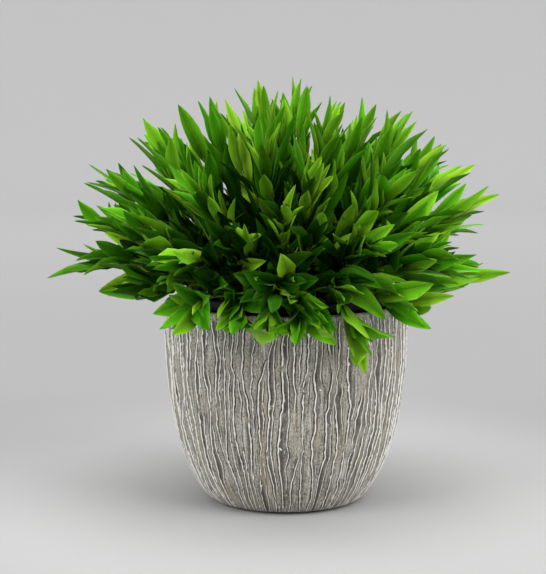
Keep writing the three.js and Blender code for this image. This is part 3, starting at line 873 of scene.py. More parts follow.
def smooth_line(centres, count):
    """Points, directions and shares of a smooth curve through the ring centres."""
    gaps = np.concatenate([[0], np.cumsum(np.linalg.norm(np.diff(centres, axis=0), axis=1))])
    knots = np.concatenate([[2 * centres[0] - centres[1]], centres, [2 * centres[-1] - centres[-2]]])
    share = np.linspace(0, 1, count)
    at = np.interp(share * gaps[-1], gaps, np.arange(len(centres)))
    low = np.minimum(at.astype(int), len(centres) - 2)
    t = (at - low)[:, None]
    p0, p1, p2, p3 = (knots[low + k] for k in range(4))
    slope, curve, swing = p2 - p0, 2 * p0 - 5 * p1 + 4 * p2 - p3, 3 * p1 - p0 - 3 * p2 + p3
    points = 0.5 * (2 * p1 + slope * t + curve * t**2 + swing * t**3)
    ways = np.gradient(points, axis=0)
    return points, ways / np.linalg.norm(ways, axis=1)[:, None], share


def open_place(point, room=POT_ROOM_MM):
    """True where a point keeps out of the pots and the soil."""
    x, y, z = point / MM
    radius = math.hypot(x, y)
    if radius > RIM_RADIUS_MM + room or z > LIP_TOP_MM + room:
        return True
    return radius < LIP_RADIUS_MM - LIP_ROOM_MM and z > soil_height(radius) + SOIL_ROOM_MM


def is_clear(blade):
    """True where the middle of a blade and both its edges keep out of the pots and the soil."""
    for share, half in TESTED_PLACES:
        middle = blade_point(blade, share)
        aside = blade["across"] * blade["width"] * half
        edges = (middle + aside, middle - aside) if half else ()
        if not open_place(middle) or not all(open_place(edge, EDGE_ROOM_MM) for edge in edges):
            return False
    return True


def opened(way, outward, opening, lift):
    """The direction of a blade that leaves its culm at an angle and turns a little up to the light."""
    return unit(way * math.cos(opening) + outward * math.sin(opening) + np.array([0, 0, lift]))


def side_direction(way, turn):
    """A direction square to a culm, at an angle round it from the upright plane through it."""
    level = unit(np.cross(way, [0, 0, 1]) + [1e-6, 0, 0])
    upward = np.cross(level, way)
    return level * math.cos(turn) + upward * math.sin(turn)


def spread_sideways(along, way):
    """Half of a blade's rise or fall from its culm, so that a culm seen end-on is a fan and no star."""
    upward = side_direction(way, math.pi / 2)
    return unit(along - upward * upward.dot(along) * 0.5)


# In the draws below, the last number only keeps the draws for different things apart.


def row_of_blades(settings, stem, line, reach, plan):
    """Blades in two ranks along one line of a culm.

    A plan gives their number, their seed, the share of the line where they begin, how much they
    droop and how broad they are.
    """
    points, ways, _ = line
    made = []
    for j in range(plan["count"]):
        seed = plan["seed"] + j
        room = LAST_PLACE - plan["first"]
        at = plan["first"] + room * (j + draw(stem, seed, 51)) / plan["count"]
        i = int(at * (len(points) - 1))
        way = ways[i]
        outward = side_direction(way, j * math.pi + sway(1.5, stem, seed, 52))
        opening = OPENING - OPENING_LOSS * at + sway(0.3, stem, seed, 53)
        along = opened(way, outward, opening, LIFT)
        facing = way + [0, 0, 0.25] + np.cross(way, outward) * sway(0.8, stem, seed, 54)
        across = unit(np.cross(along, facing))
        grown = LEAST_SIZE + (1 - LEAST_SIZE) * at
        size = settings.blade_length * (1 + sway(0.3, stem, seed, 55)) * grown
        slender = (size / settings.blade_length) ** 0.5
        width = settings.blade_width * (1 + sway(0.3, stem, seed, 56)) * slender * plan["broad"]
        bend = LEAST_BEND + BEND_RANGE * draw(stem, seed, 57) + plan["droop"]
        blade = longest_clear(points[i], along, across, size, width, bend, reach)
        if blade:
            made.append(blade)
    return made


def lowest_tip(point):
    """How low a blade may hang, at a place round the pot: less at its sides than in front and behind."""
    angle = math.atan2(point[1], point[0])
    hem = HEM_MM + HEM_SWAY_MM * draw(math.floor(angle * 11), 3, 4)
    hem += HEM_RISE_MM * float(smooth(*SIDEWAYS, abs(math.cos(angle))))
    hem -= HEM_DROP_MM * float(smooth(*BEHIND, math.sin(angle)))
    for spray, drop in HANGING_SPRAYS:
        off = abs((angle - spray + math.pi) % TURN - math.pi)
        hem -= drop * float(smooth(*SPRAY_EDGE, off))
    return hem * MM


def raised_clear(foot, along, size):
    """The direction of a blade, turned up until its tip does not hang too low."""
    for _ in range(TURN_STEPS):
        end = foot + along * size
        if end[2] > lowest_tip(end):
            break
        along = unit(along + [0, 0, TURN_STEP])
    return along


def longest_clear(foot, along, across, size, width, bend, reach):
    """The blade, or the same one shorter, that stays inside the plant's outline and off the pots."""
    along = raised_clear(foot, along, size)
    across = unit(across - along * across.dot(along))
    for shorter in SHORTER:
        blade = new_blade(foot, along, across, size * shorter, width * shorter**0.5, bend)
        end = blade_point(blade, 1)
        if is_clear(blade) and np.linalg.norm(end - DOME_CENTRE) < reach and in_box(end):
            return blade
    return None


def shoots(settings, stem, line, reach, seed):
    """Narrow young blades, still half rolled, that stand up beside the end of the culm."""
    points, ways, _ = line
    made = []
    for j in range(settings.shoots):
        i = -2 - 3 * j
        way = ways[i]
        outward = side_direction(way, stem + seed + 2 * j)
        opening = SHOOT_OPENING + SHOOT_OPENING_RANGE * draw(stem, seed + j, 61)
        along = opened(way, outward, opening, SHOOT_LIFT)
        across = unit(np.cross(along, way - outward))
        size = settings.blade_length * (SHOOT_SIZE + SHOOT_SIZE_RANGE * draw(stem, seed + j, 62))
        width = settings.blade_width * SHOOT_WIDTH
        blade = longest_clear(points[i], along, across, size, width, SHOOT_BEND, reach)
        if blade:
            youth = 0.7 + 0.3 * draw(stem, seed + j, 63)
            made.append({**blade, "fold": SHOOT_FOLD, "youth": youth})
    return made


def end_blade(settings, stem, line, reach, seed):
    """The last blade of a side branch, which carries on its line."""
    points, ways, _ = line
    across = unit(np.cross(ways[-1], side_direction(ways[-1], 1.57 + sway(1.5, stem, seed, 64))))
    size = settings.blade_length * (0.85 + 0.3 * draw(stem, seed, 65))
    blade = longest_clear(points[-1], ways[-1], across, size, settings.blade_width, 0.25, reach)
    return [blade] if blade else []


def hangs_behind(line):
    """True for a culm that ends low at the back of the plant."""
    points, ways, _ = line
    return ways[-1][2] < LOW_CULM and points[-1][1] > 0.2 * np.hypot(*points[-1][:2])


def side_branches(settings, stem, line):
    """Thin branches that leave the culm half way up and end beside it, so that the clump closes."""
    points, ways, _ = line
    crown = points[-1][2] > CROWN_MM * MM
    more = 2 if hangs_behind(line) else 1 if crown else 0  # more of them where the clump has gaps
    turns = [b * TURN / settings.branches for b in range(settings.branches)]
    turns += [share * TURN for share in (0.75, 0.25)[:more]]
    made = []
    for b, turn in enumerate(turns):
        seed = 100 * (b + 1)
        i = int(CULM_POINTS * (BRANCH_START + BRANCH_START_RANGE * draw(stem, seed, 81)))
        low, high = points[i], points[-1]
        outward = side_direction(ways[-1], stem * 2.3 + turn + sway(0.9, stem, seed, 82))
        if ways[-1][2] < 0.45 and outward[2] < 0:
            outward = outward * [1, 1, -1]
        offset = (BRANCH_REACH_MM + BRANCH_REACH_RANGE_MM * draw(stem, seed, 83)) * MM
        lag = (BRANCH_LAG_MM + BRANCH_LAG_RANGE_MM * draw(stem, seed, 84)) * MM
        end = high + outward * offset - ways[-1] * lag
        bow = low + (end - low) * 0.45 + outward * offset * 0.28 + np.array([0, 0, 3 * MM])
        t = np.linspace(0, 1, BRANCH_POINTS)[:, None]
        path = low * (1 - t) ** 2 + 2 * bow * t * (1 - t) + end * t**2
        if all(open_place(p) for p in path[4:]):
            made.append(smooth_line(path, BRANCH_POINTS))
    return made


def in_box(point):
    """True more than 1 mm inside the box of the CAD part."""
    low, high = CAD_BOX
    return all(low[i] + MM < point[i] < high[i] - MM for i in range(3))


def hollow(point):
    """How far a place lies in the shaded hollow in the middle of the plant's front, from 0 to 1."""
    x, y, z = point / MM
    (right, up), (width, height) = HOLLOW_PLACE_MM, HOLLOW_SIZE_MM
    away = math.hypot((x - right) / width, (z - up) / height)
    return float(smooth(1.5, 0.9, away) * smooth(-20, -60, y))


def outwardness(point):
    """How near a place is to the plant's outside, from 0 to about 1."""
    level = math.hypot(point[0], point[1]) / MM
    hem = level / (RIM_RADIUS_MM + HEM_REACH_MM) if point[2] < HEM_TOP_MM * MM else 0
    return max(np.linalg.norm(point - DOME_CENTRE) / (DOME_REACH_MM * MM), hem)


def coloured(settings, blade, stem, j):
    """Adds what makes each blade its own: fold, twist, how deep and how young its green is, and the light
    and shade painted into it by its place in the clump.
    """
    middle = blade_point(blade, 0.6)
    height = middle[2]
    out = outwardness(middle)
    right = middle[0] / (DOME_REACH_MM * MM)
    # Painted light and shade: blades at the outside are painted as lit, those in the hollow and on the lower
    # left as shaded.
    lit = smooth(0.5, 0.93, out) * (1 - 0.95 * hollow(middle))
    lit *= 1 - 0.35 * smooth(-0.1, -0.6, right) * smooth(210 * MM, 170 * MM, height)
    # Painted light: the crown and the hem are made lighter, and more blades there and on the right are young
    # and pale, as if well lit.
    edge = max(smooth(CROWN_MM * MM, 235 * MM, height), smooth(146 * MM, 132 * MM, height))
    likely = (1 + 0.7 * right + 0.6 * edge) * (0.8 + 0.4 * out)
    young = draw(stem, j, 71) < settings.young_share * likely
    blade.setdefault("fold", 0.3 + 0.42 * draw(stem, j, 72))
    blade["twist"] = sway(1.1, stem, j, 73)
    blade["wave"] = 0.35 * draw(stem, j, 74)
    blade["plump"] = 0.22 * draw(stem, j, 78) + 0.36 * float(smooth(165 * MM, 130 * MM, height))
    shade = 0.06 + 0.8 * lit + 0.22 * edge + sway(1.15, stem, j, 75) * (0.12 + 0.88 * lit)
    unshaded = young or blade.get("youth", 0) > 0.85
    blade["shade"] = 1.0 if unshaded else float(np.clip(shade, 0, 1))
    # Painted light: an older blade gets more young green the more light would reach it, and a young blade a
    # paler green where it lies in shade, so that it shows bright there.
    older_youth_with_light = draw(stem, j, 77) * (0.08 + 0.2 * lit + 0.32 * edge)
    young_paler_in_shade = 0.35 + 0.47 * (1 - lit) + (0.18 + 0.42 * lit) * draw(stem, j, 76)
    blade.setdefault("youth", young_paler_in_shade if young else older_youth_with_light)
    return blade


# What the holder stores for each blade; the tree shapes the blade by all but the last two.
BLADE_VALUES = ("length", "width", "bend", "fold", "twist", "wave", "plump", "shade", "youth")
VECTOR_VALUES = ("foot", "along", "across", "facing")
SHAPE_VALUES = ("is_blade", "radius", *BLADE_VALUES[:7])


def closed_in(settings, blade, line):
    """A blade of the CAD solid, narrower and turned towards its culm where that leaves it clear."""
    points, ways, _ = line
    near = np.argmin(np.linalg.norm(points - blade["foot"], axis=1))
    foot = blade["foot"] + (points[near] - blade["foot"]) * 0.7
    along = unit(blade["chord"] + ways[near] * settings.closing)
    if ways[-1][2] < 0.5:
        along = spread_sideways(along, ways[near])
    along = raised_clear(foot, along, blade["length"])
    across = unit(blade["across"] - along * blade["across"].dot(along))
    width = blade["width"] * settings.width_share
    closed = new_blade(foot, along, across, blade["length"], width, blade["bend"])
    return {**(closed if is_clear(closed) else blade), "foot": foot}


def added_blades(settings, stem, line, branches, reach):
    """The blades that the CAD solid does not have, on the culm and on its side branches."""
    points, ways, _ = line
    shaded = hollow(points[-1])
    low = ways[-1][2] < LOW_CULM
    front = points[-1][1] < -0.6 * np.hypot(*points[-1][:2])
    inner = np.linalg.norm(points[-1] - DOME_CENTRE) < INSIDE_MM * MM
    more = (0 if front else 5) if low else 6 if inner else 1
    count = round((settings.extra_blades + more) * (1 - 0.65 * shaded))
    usual = {"first": 0.22, "droop": 0.5 if low else 0.0, "broad": 1.4 if low and front else 1.0}
    plan = {**usual, "count": count, "seed": 0, "first": 0.2 if low else 0.24}
    made = row_of_blades(settings, stem, line, reach, plan)
    filling = 5 if hangs_behind(line) else 7 if ways[-1][2] > 0.45 else 0
    made += row_of_blades(settings, stem, line, reach, {**plan, "count": filling, "seed": 50})
    made += shoots(settings, stem, line, reach, 0)
    if shaded > 0.5:
        made += shoots(settings, stem, line, reach, 30)
    for b, branch in enumerate(branches):
        seed = 100 * (b + 1)
        plan = {**usual, "count": settings.branch_blades, "seed": seed}
        made += row_of_blades(settings, stem, branch, reach, plan)
        made += end_blade(settings, stem, branch, reach, seed)
        made += shoots(settings, stem, branch, reach, seed)[:1]
    return made


def stem_holder(settings, name, stem):
    """An object that holds the culm's line and one loose point for each blade, for the tree to dress."""
    centres, corners = read_leafy_stem(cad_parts[name])
    line = smooth_line(centres, CULM_POINTS)
    blades = [blade_from_corners(*c) for c in corners]
    reach = max(np.linalg.norm(blade_point(b, 1) - DOME_CENTRE) for b in blades)
    blades = [closed_in(settings, blade, line) for blade in blades]
    branches = side_branches(settings, stem, line) if hollow(line[0][-1]) < 0.5 else []
    blades += added_blades(settings, stem, line, branches, reach)
    blades = [coloured(settings, blade, stem, j) for j, blade in enumerate(blades)]
    lines = [line, *branches]
    thick, height, edges, first = [], [], [], 0
    for k, (places, _, along) in enumerate(lines):
        # Number of joints, thickness against the culm's, the height value at the foot and its rise.
        joints, share, low, rise = (8, 0.6, 0.5, 0.5) if k else (14, 1.0, 0.0, 1.0)
        knots = np.abs(((along * joints) % 1) - 0.5) * 2
        radius = settings.culm_thickness / 2 * share * (1 - 0.4 * along)
        thick.append(radius * (1 + 0.25 * knots**8))
        height.append(low + rise * along)
        edges += [(first + i, first + i + 1) for i in range(len(places) - 1)]
        first += len(places)
    none = np.zeros(len(blades))
    values = {"radius": np.concatenate([*thick, none]), "height": np.concatenate([*height, none])}
    values["is_blade"] = np.concatenate([np.zeros(first), none + 1])
    for label in (*BLADE_VALUES, *VECTOR_VALUES):
        own = np.array([b[label] for b in blades])
        values[label] = np.concatenate([np.zeros((first, *own.shape[1:])), own])
    places = np.concatenate([*(places for places, *_ in lines), np.zeros((len(blades), 3))])
    return mesh_object(name.replace("leafy_stem", "grass_culm"), places, edges=edges, values=values)


# Rows of a blade from its foot: share of its length and of its greatest half width.
BLADE_ROWS = (
    (0.0, 0.12),
    (0.04, 0.2),
    (0.12, 0.56),
    (0.24, 0.87),
    (0.38, 1.0),
    (0.54, 0.99),
    (0.7, 0.81),
    (0.83, 0.52),
    (0.93, 0.25),
)
# Columns of its upper side, from one edge over the midrib to the other.
BLADE_TOP = (-1.0, -0.5, 0.0, 0.5, 1.0)
RIPPLES = 11.0  # of a blade's edges, in radians over its length


def blade_pattern():
    """The blade that every leaf repeats: 1 long, from -0.5 to 0.5 across, its section a thin lens."""
    points, side, run = [], [], []
    for share, half in BLADE_ROWS:
        points += [(place * half / 2, share, 0.5 * (1 - place * place)) for place in BLADE_TOP]
        points.append((0, share, -0.5))
        side += [*BLADE_TOP, 0.0]
        run += [share] * (len(BLADE_TOP) + 1)
    tip = len(points)
    points.append((0, 1, 0))
    side.append(0.0)
    run.append(1.0)
    ring = len(BLADE_TOP) + 1
    faces, under = [], []
    for low in range(0, tip, ring):
        high = low + ring
        for k in range(ring):
            j = (k + 1) % ring
            upper = (high + j, high + k) if high < tip else (tip,)
            faces.append((low + k, low + j, *upper))
            under.append(1.0 if k >= ring - 2 else 0.0)
    faces.append(tuple(reversed(range(ring))))
    under.append(1.0)
    pattern = mesh_object("blade_pattern", points, faces, values={"side": side, "run": run})
    mesh = pattern.data
    mesh.attributes.new("under", "FLOAT", "FACE").data.foreach_set("value", np.array(under, np.float32))
    mesh.shade_smooth()
    # Both edges and the midrib are sharp, up to the tip.
    sharp = mesh.attributes.new("sharp_edge", "BOOLEAN", "EDGE")
    for edge in mesh.edges:
        columns = {v % ring if v != tip else None for v in edge.vertices}
        sharp.data[edge.index].value = columns <= {0, 4, None} or columns <= {2, None}
    return pattern


def leafy_culm_tree(blade_finish, culm_finish):
    """Sweeps the culm along its line, and lays a bent, folded and twisted blade at each blade point."""
    sizes = {"Blade": "Object", "Blade thickness": "Float", "Culm sides": "Int"}
    tree, given, result = new_tree("Leafy culm", sizes)
    stored = {
        label: add_node(tree, "GeometryNodeInputNamedAttribute", {"Name": label}, data_type=kind)
        for kind, labels in (("FLOAT", SHAPE_VALUES), ("FLOAT_VECTOR", VECTOR_VALUES))
        for label in labels
    }
    split = {"Geometry": given["Geometry"], "Selection": stored["is_blade"]}
    parts = add_node(tree, "GeometryNodeSeparateGeometry", split, domain="POINT")
    # The culm
    line = add_node(tree, "GeometryNodeMeshToCurve", {"Mesh": parts.outputs["Inverted"]})
    round_section = {"Resolution": given["Culm sides"], "Radius": 1.0}
    ring = add_node(tree, "GeometryNodeCurvePrimitiveCircle", round_section)
    swept = {"Curve": line, "Profile Curve": ring, "Scale": stored["radius"], "Fill Caps": True}
    tube = add_node(tree, "GeometryNodeCurveToMesh", swept)
    soft = add_node(tree, "GeometryNodeSetShadeSmooth", {"Geometry": tube})
    # The blades
    pattern = add_node(tree, "GeometryNodeObjectInfo", {"Object": given["Blade"]}).outputs["Geometry"]
    at_points = {"Points": parts.outputs["Selection"], "Instance": pattern}
    placed = add_node(tree, "GeometryNodeInstanceOnPoints", at_points)
    real = add_node(tree, "GeometryNodeRealizeInstances", {"Geometry": placed})
    where = add_node(tree, "GeometryNodeInputPosition")
    x, y, z = add_node(tree, "ShaderNodeSeparateXYZ", {0: where}).outputs
    # Across the blade: its place, its fold, its ripple and its thickness
    plump = add_node(tree, MATH, {0: y, 1: stored["plump"], 2: 1.0}, operation="MULTIPLY_ADD")
    width = add_node(tree, MATH, {0: plump, 1: stored["width"]}, operation="MULTIPLY")
    sideways = add_node(tree, MATH, {0: x, 1: width}, operation="MULTIPLY")
    aside = add_node(tree, MATH, {0: sideways}, operation="ABSOLUTE")
    skin = add_node(tree, MATH, {0: z, 1: given["Blade thickness"]}, operation="MULTIPLY")
    folded = add_node(tree, MATH, {0: aside, 1: stored["fold"], 2: skin}, operation="MULTIPLY_ADD")
    waves = add_node(tree, MATH, {0: y, 1: RIPPLES}, operation="MULTIPLY")
    wave = add_node(tree, MATH, {0: waves}, operation="SINE")
    ripple = add_node(tree, MATH, {0: wave, 1: stored["wave"]}, operation="MULTIPLY")
    lifted = add_node(tree, MATH, {0: ripple, 1: sideways, 2: folded}, operation="MULTIPLY_ADD")
    # Along the blade: its bend and its twist
    bent = add_node(tree, MATH, {0: y, 1: stored["bend"]}, operation="MULTIPLY")
    turn = add_node(tree, MATH, {0: bent, 1: -1.0}, operation="MULTIPLY")
    half = add_node(tree, MATH, {0: bent, 1: -0.5}, operation="MULTIPLY")
    squared = add_node(tree, MATH, {0: y, 1: y}, operation="MULTIPLY")
    spun = add_node(tree, MATH, {0: squared, 1: stored["twist"]}, operation="MULTIPLY")
    across, along, facing = (stored[label] for label in ("across", "along", "facing"))
    tangent = add_node(tree, ROTATE, {"Vector": along, "Axis": across, "Angle": turn})
    upward = add_node(tree, ROTATE, {"Vector": facing, "Axis": across, "Angle": turn})
    flat = add_node(tree, VECTOR_MATH, {0: across, "Scale": sideways}, operation="SCALE")
    raised = add_node(tree, VECTOR_MATH, {0: upward, "Scale": lifted}, operation="SCALE")
    section = add_node(tree, VECTOR_MATH, {0: flat, 1: raised}, operation="ADD")
    twisted = add_node(tree, ROTATE, {"Vector": section, "Axis": tangent, "Angle": spun})
    way = add_node(tree, ROTATE, {"Vector": along, "Axis": across, "Angle": half})
    distance = add_node(tree, MATH, {0: y, 1: stored["length"]}, operation="MULTIPLY")
    run = add_node(tree, VECTOR_MATH, {0: way, "Scale": distance}, operation="SCALE")
    spine = add_node(tree, VECTOR_MATH, {0: stored["foot"], 1: run}, operation="ADD")
    spot = add_node(tree, VECTOR_MATH, {0: spine, 1: twisted}, operation="ADD")
    shaped = add_node(tree, SET_POSITION, {"Geometry": real, "Position": spot})
    both = add_node(tree, "GeometryNodeJoinGeometry", {"Geometry": soft})
    tree.links.new(shaped.outputs[0], both.inputs[0])
    whole = add_node(tree, "GeometryNodeRealizeInstances", {"Geometry": both})
    green = add_node(tree, SET_MATERIAL, {"Geometry": whole, "Material": culm_finish})
    leafy = {"Geometry": green, "Selection": stored["is_blade"], "Material": blade_finish}
    finish = add_node(tree, SET_MATERIAL, leafy)
    tree.links.new(finish.outputs[0], result[0])
    return tree


# Stage

# The floor in mm: radius of its flat part, of the bend at its edge, and height of its wall.
FLOOR_FLAT_MM, FLOOR_BEND_MM, FLOOR_WALL_MM = 2300, 1600, 3200
FLOOR_SIDES = 96
LIGHT_AIM = (0, 0, 0.13)
# Place and size of each soft light, by the name of its setting.
LIGHTS = {
    "key": ((2.15, -1.8, 2.6), 2.4),
    "fill": ((-2.25, -1.8, 1.9), 2.0),
    "top": ((-0.1, 0.1, 3.1), 3.0),
}
CAMERA_LENS_MM = 106.0
CAMERA_PLACE = (-0.0085, -1.0906, 0.2826)
CAMERA_TILT = math.radians(82.5)


def backdrop(settings):
    """A round floor that rises softly into a wall on every side."""
    outer, sides = FLOOR_FLAT_MM + FLOOR_BEND_MM, FLOOR_SIDES
    section = [(600, 0), (1400, 0)]
    for a in np.linspace(0, math.pi / 2, 17):
        section.append((FLOOR_FLAT_MM + FLOOR_BEND_MM * math.sin(a), FLOOR_BEND_MM * (1 - math.cos(a))))
    section.append((outer, FLOOR_WALL_MM))
    points = [(0, 0, 0)]
    for radius, height in section:
        points += ring_points(radius, height, sides)
    faces = [(0, 1 + i, 1 + (i + 1) % sides) for i in range(sides)]
    for low in range(1, len(points) - sides, sides):
        high = low + sides
        faces += [(low + i, high + i, high + (i + 1) % sides, low + (i + 1) % sides) for i in range(sides)]
    floor = mesh_object("backdrop", points, faces)
    floor.data.shade_smooth()
    floor.data.materials.append(backdrop_paper(settings))


def softbox(name, place, size, power):
    """A square light of a size in metres that shines on the plant."""
    lamp = bpy.data.lights.new(name, "AREA")
    lamp.energy = power
    lamp.size = size
    holder = bpy.data.objects.new(name, lamp)
    holder.location = place
    aim = np.array(LIGHT_AIM) - np.array(place)
    yaw, level = math.atan2(aim[1], aim[0]), math.hypot(aim[0], aim[1])
    holder.rotation_euler = (math.atan2(level, -aim[2]), 0, yaw - math.pi / 2)
    bpy.context.scene.collection.objects.link(holder)


# Settings


def length_prop(label, about, size):
    return bpy.props.FloatProperty(
        name=label, description=about, default=size, min=0, precision=5, unit="LENGTH"
    )


def number_prop(label, about, value, **limits):
    return bpy.props.FloatProperty(name=label, description=about, default=value, **limits)


def count_prop(label, about, value, **limits):
    return bpy.props.IntProperty(name=label, description=about, default=value, **limits)


def colour_prop(label, about, code):
    return bpy.props.FloatVectorProperty(
        name=label, description=about, default=srgb(code), min=0, max=1, size=3, subtype="COLOR"
    )


class CoverPotSettings(bpy.types.PropertyGroup):
    ridge_height: length_prop("Ridge height", "How far a crest stands out of the sandy ground", 0.0005)
    cleft_depth: length_prop("Cleft depth", "How deep the cleft beside a crest is", 0.0009)
    ground_swell: length_prop("Ground swell", "How far the ground between two ridges swells", 0.0003)
    ground_dark: colour_prop("Ground, dark", "Darker grains of the sandy ground", "#635f56")
    ground_light: colour_prop("Ground, light", "Lighter grains of the sandy ground", "#c6c2b5")
    stain: colour_prop("Stain", "Beige stain between the ridges", "#a59780")
    crest: colour_prop("Crest", "Pale rubbed crest of a ridge", "#fffdf6")
    # Painted shadow: partly a dark wash and partly the shadow that falls in the cleft.
    cleft: colour_prop("Cleft", "Dark cleft beside a crest", "#1e160b")


class NurseryPotSettings(bpy.types.PropertyGroup):
    sides: count_prop("Sides", "Sides of the round pot", 120, min=12)
    plastic: colour_prop("Plastic", "Black moulded plastic", "#070707")
    dust: colour_prop("Dust", "Dry dust on the plastic", "#151311")


class SoilSettings(bpy.types.PropertyGroup):
    roughness: length_prop("Roughness", "Height of the lumps of the soil's top", 0.006)
    crumb_size: length_prop("Crumb size", "Radius of the largest crumbs", 0.0017)
    crumbs: number_prop("Crumbs", "Crumbs on a square metre", 42000.0, min=0)
    seed: count_prop("Seed", "Seed of the crumbs' places", 7)
    soil: colour_prop("Soil", "Dry peat", "#2c1f14")
    soil_dark: colour_prop("Soil, dark", "Damp peat", "#0f0a06")
    fibre: colour_prop("Fibre", "Fibres in the peat", "#56402b")


class GrassSettings(bpy.types.PropertyGroup):
    blade_length: length_prop("Blade length", "Mean length of the added blades", 0.041)
    blade_width: length_prop("Blade width", "Mean width of the added blades", 0.0083)
    blade_thickness: length_prop("Blade thickness", "Thickness of a blade at its midrib", 0.0007)
    width_share: number_prop("Width share", "Width of a blade against its CAD solid", 0.78, subtype="FACTOR")
    extra_blades: count_prop("Extra blades", "Blades added on each culm to those of the CAD solid", 9, min=0)
    branches: count_prop("Branches", "Side branches of each culm", 2, min=1)
    branch_blades: count_prop("Branch blades", "Blades on each side branch, before its last one", 4, min=0)
    closing: number_prop("Closing", "How far a blade turns towards its culm from its CAD place", 0.45, min=0)
    shoots: count_prop("Shoots", "Half rolled blades at the end of a culm", 2)
    young_share: number_prop("Young share", "Share of the blades that are young", 0.24, subtype="FACTOR")
    culm_thickness: length_prop("Culm thickness", "Thickness of a culm at its foot", 0.0024)
    culm_sides: count_prop("Culm sides", "Sides of the round culm", 8, min=3)
    # Painted shade: blades are mixed towards this dark green where little light reaches them: inside the
    # clump, in the hollow, on the lower left, at their feet and towards their midribs. It stands only partly
    # for older blades.
    deep: colour_prop("Deep green", "Older blades inside the clump", "#001401")
    mature: colour_prop("Mature green", "Full-grown blades at the outside", "#3ab206")
    young: colour_prop("Young green", "Young blades", "#98c42c")
    tip: colour_prop("Tip green", "Last third of a blade", "#6cc014")
    # Pale midrib, and edges that are partly their own pale margin and partly a painted highlight.
    rib_and_edge_highlight: colour_prop("Rib green", "Midrib and edges of a blade", "#aec266")
    underside: colour_prop("Underside", "Lower side of a blade", "#4a9e10")
    sheen: colour_prop("Sheen", "Colour of the soft shine on a blade", "#c8ff48")
    culm: colour_prop("Culm green", "Culm", "#3c6a1c")
    # Partly the culm's own browner foot, partly painted shade low in the clump.
    culm_foot_and_shade: colour_prop("Culm foot", "Foot of the culm", "#3a3416")


class StageSettings(bpy.types.PropertyGroup):
    # Painted light: the paper is made lighter round the pot to lighten its shadow, and lighter far behind to
    # make up for the light that falls off there.
    near: colour_prop("Near floor", "Pale matt floor round the pot", "#b5b5b5")
    floor: colour_prop("Floor", "The same paper farther out", "#959595")
    wall: colour_prop("Wall", "The same paper far behind", "#bcbcbc")
    key: number_prop("Key light", "Large soft light over the right front", 96.0, unit="POWER")
    fill: number_prop("Fill light", "Soft light from the left front", 51.0, unit="POWER")
    top: number_prop("Top light", "Soft light from above", 103.0, unit="POWER")
    ambient: number_prop("Ambient", "Light of the room", 0.3, min=0)


# Operators


class POGO_OT_cover_pot(bpy.types.Operator):
    """Makes the stoneware cover pot with its bark-like relief"""

    bl_idname = "pogonatherum.cover_pot"
    bl_label = "Cover Pot"

    def execute(self, context):
        settings = context.scene.pogo_cover_pot
        piece = cover_pot_sheet()
        sizes = {
            "Ridge height": settings.ridge_height,
            "Cleft depth": -settings.cleft_depth,
            "Ground swell": settings.ground_swell,
        }
        dress(piece, relief_tree(stoneware(settings)), sizes)
        settle([piece])
        piece.data.shade_smooth()
        stand_for(piece, "stoneware", "cover_pot")
        return {"FINISHED"}


class POGO_OT_nursery_pot(bpy.types.Operator):
    """Makes the black nursery pot that stands inside the cover pot"""

    bl_idname = "pogonatherum.nursery_pot"
    bl_label = "Nursery Pot"

    def execute(self, context):
        settings = context.scene.pogo_nursery_pot
        piece = turned("nursery_pot_shell", nursery_pot_section(), settings.sides)
        piece.data.materials.append(black_plastic(settings))
        stand_for(piece, "black_plastic", "nursery_pot")
        return {"FINISHED"}


class POGO_OT_soil(bpy.types.Operator):
    """Fills the nursery pot with crumbly potting soil"""

    bl_idname = "pogonatherum.soil"
    bl_label = "Soil"

    def execute(self, context):
        settings = context.scene.pogo_soil
        piece = soil_sheet()
        sizes = {
            "Roughness": settings.roughness,
            "Crumb size": settings.crumb_size,
            "Crumbs": settings.crumbs,
            "Seed": settings.seed,
        }
        dress(piece, soil_tree(peat(settings)), sizes)
        settle([piece])
        stand_for(piece, "peat", "soil")
        return {"FINISHED"}


class POGO_OT_grass(bpy.types.Operator):
    """Grows a finely bladed culm in the place of each leafy stem of the CAD part"""

    bl_idname = "pogonatherum.grass"
    bl_label = "Leafy Culms"

    def execute(self, context):
        settings = context.scene.pogo_grass
        names = sorted(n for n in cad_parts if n.startswith("leafy_stem"))
        tree = leafy_culm_tree(blade_skin(settings), culm_skin(settings))
        pattern = blade_pattern()
        sizes = {
            "Blade": pattern,
            "Blade thickness": settings.blade_thickness,
            "Culm sides": settings.culm_sides,
        }
        pieces = [stem_holder(settings, name, i + 1) for i, name in enumerate(names)]
        for piece in pieces:
            dress(piece, tree, sizes)
        settle(pieces)
        bpy.data.objects.remove(pattern)
        for piece, name in zip(pieces, names):
            stand_for(piece, "leaf_green", name)
        return {"FINISHED"}


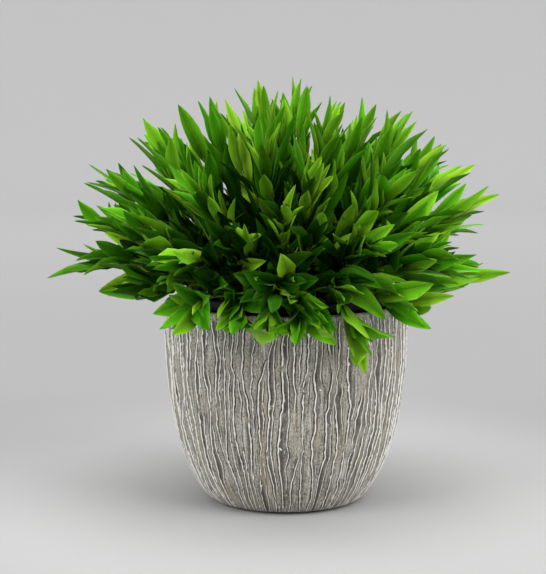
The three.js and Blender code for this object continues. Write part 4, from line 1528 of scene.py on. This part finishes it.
class POGO_OT_stage(bpy.types.Operator):
    """Sets the plain pale floor, the soft studio light and the camera"""

    bl_idname = "pogonatherum.stage"
    bl_label = "Stage"

    def execute(self, context):
        settings = context.scene.pogo_stage
        context.scene.view_settings.view_transform = "Standard"
        backdrop(settings)
        for name, (place, size) in LIGHTS.items():
            softbox(f"{name}_light", place, size, getattr(settings, name))
        room = bpy.data.worlds.new("room")
        room.use_nodes = True
        light = room.node_tree.nodes["Background"].inputs
        light["Strength"].default_value = settings.ambient
        light["Color"].default_value = (1, 1, 1, 1)
        context.scene.world = room
        camera = bpy.data.objects.new("camera", bpy.data.cameras.new("camera"))
        camera.data.lens = CAMERA_LENS_MM
        camera.location = CAMERA_PLACE
        camera.rotation_euler = (CAMERA_TILT, 0, 0)
        context.scene.collection.objects.link(camera)
        context.scene.camera = camera
        return {"FINISHED"}


class VIEW3D_PT_pogonatherum(bpy.types.Panel):
    """Shows the settings of each step with its button"""

    bl_label = "Potted Pogonatherum"
    bl_space_type = "VIEW_3D"
    bl_region_type = "UI"
    bl_category = "Pogonatherum"

    def draw(self, context):
        for settings, (_, operator) in STEPS.items():
            box = self.layout.box()
            group = getattr(context.scene, settings)
            for name in group.__annotations__:
                box.prop(group, name)
            box.operator(operator.bl_idname)


# Name of the settings in the Blender scene, their class, and the operator that uses them.
STEPS = {
    "pogo_cover_pot": (CoverPotSettings, POGO_OT_cover_pot),
    "pogo_nursery_pot": (NurseryPotSettings, POGO_OT_nursery_pot),
    "pogo_soil": (SoilSettings, POGO_OT_soil),
    "pogo_grass": (GrassSettings, POGO_OT_grass),
    "pogo_stage": (StageSettings, POGO_OT_stage),
}


def register():
    for name, (group, operator) in STEPS.items():
        bpy.utils.register_class(group)
        setattr(bpy.types.Scene, name, bpy.props.PointerProperty(type=group))
        bpy.utils.register_class(operator)
    bpy.utils.register_class(VIEW3D_PT_pogonatherum)


def unregister():
    bpy.utils.unregister_class(VIEW3D_PT_pogonatherum)
    for name, (group, operator) in STEPS.items():
        bpy.utils.unregister_class(operator)
        delattr(bpy.types.Scene, name)
        bpy.utils.unregister_class(group)


def main():
    register()
    bpy.ops.pogonatherum.cover_pot()
    bpy.ops.pogonatherum.nursery_pot()
    bpy.ops.pogonatherum.soil()
    bpy.ops.pogonatherum.grass()
    bpy.ops.pogonatherum.stage()


if __name__ == "__main__":
    main()
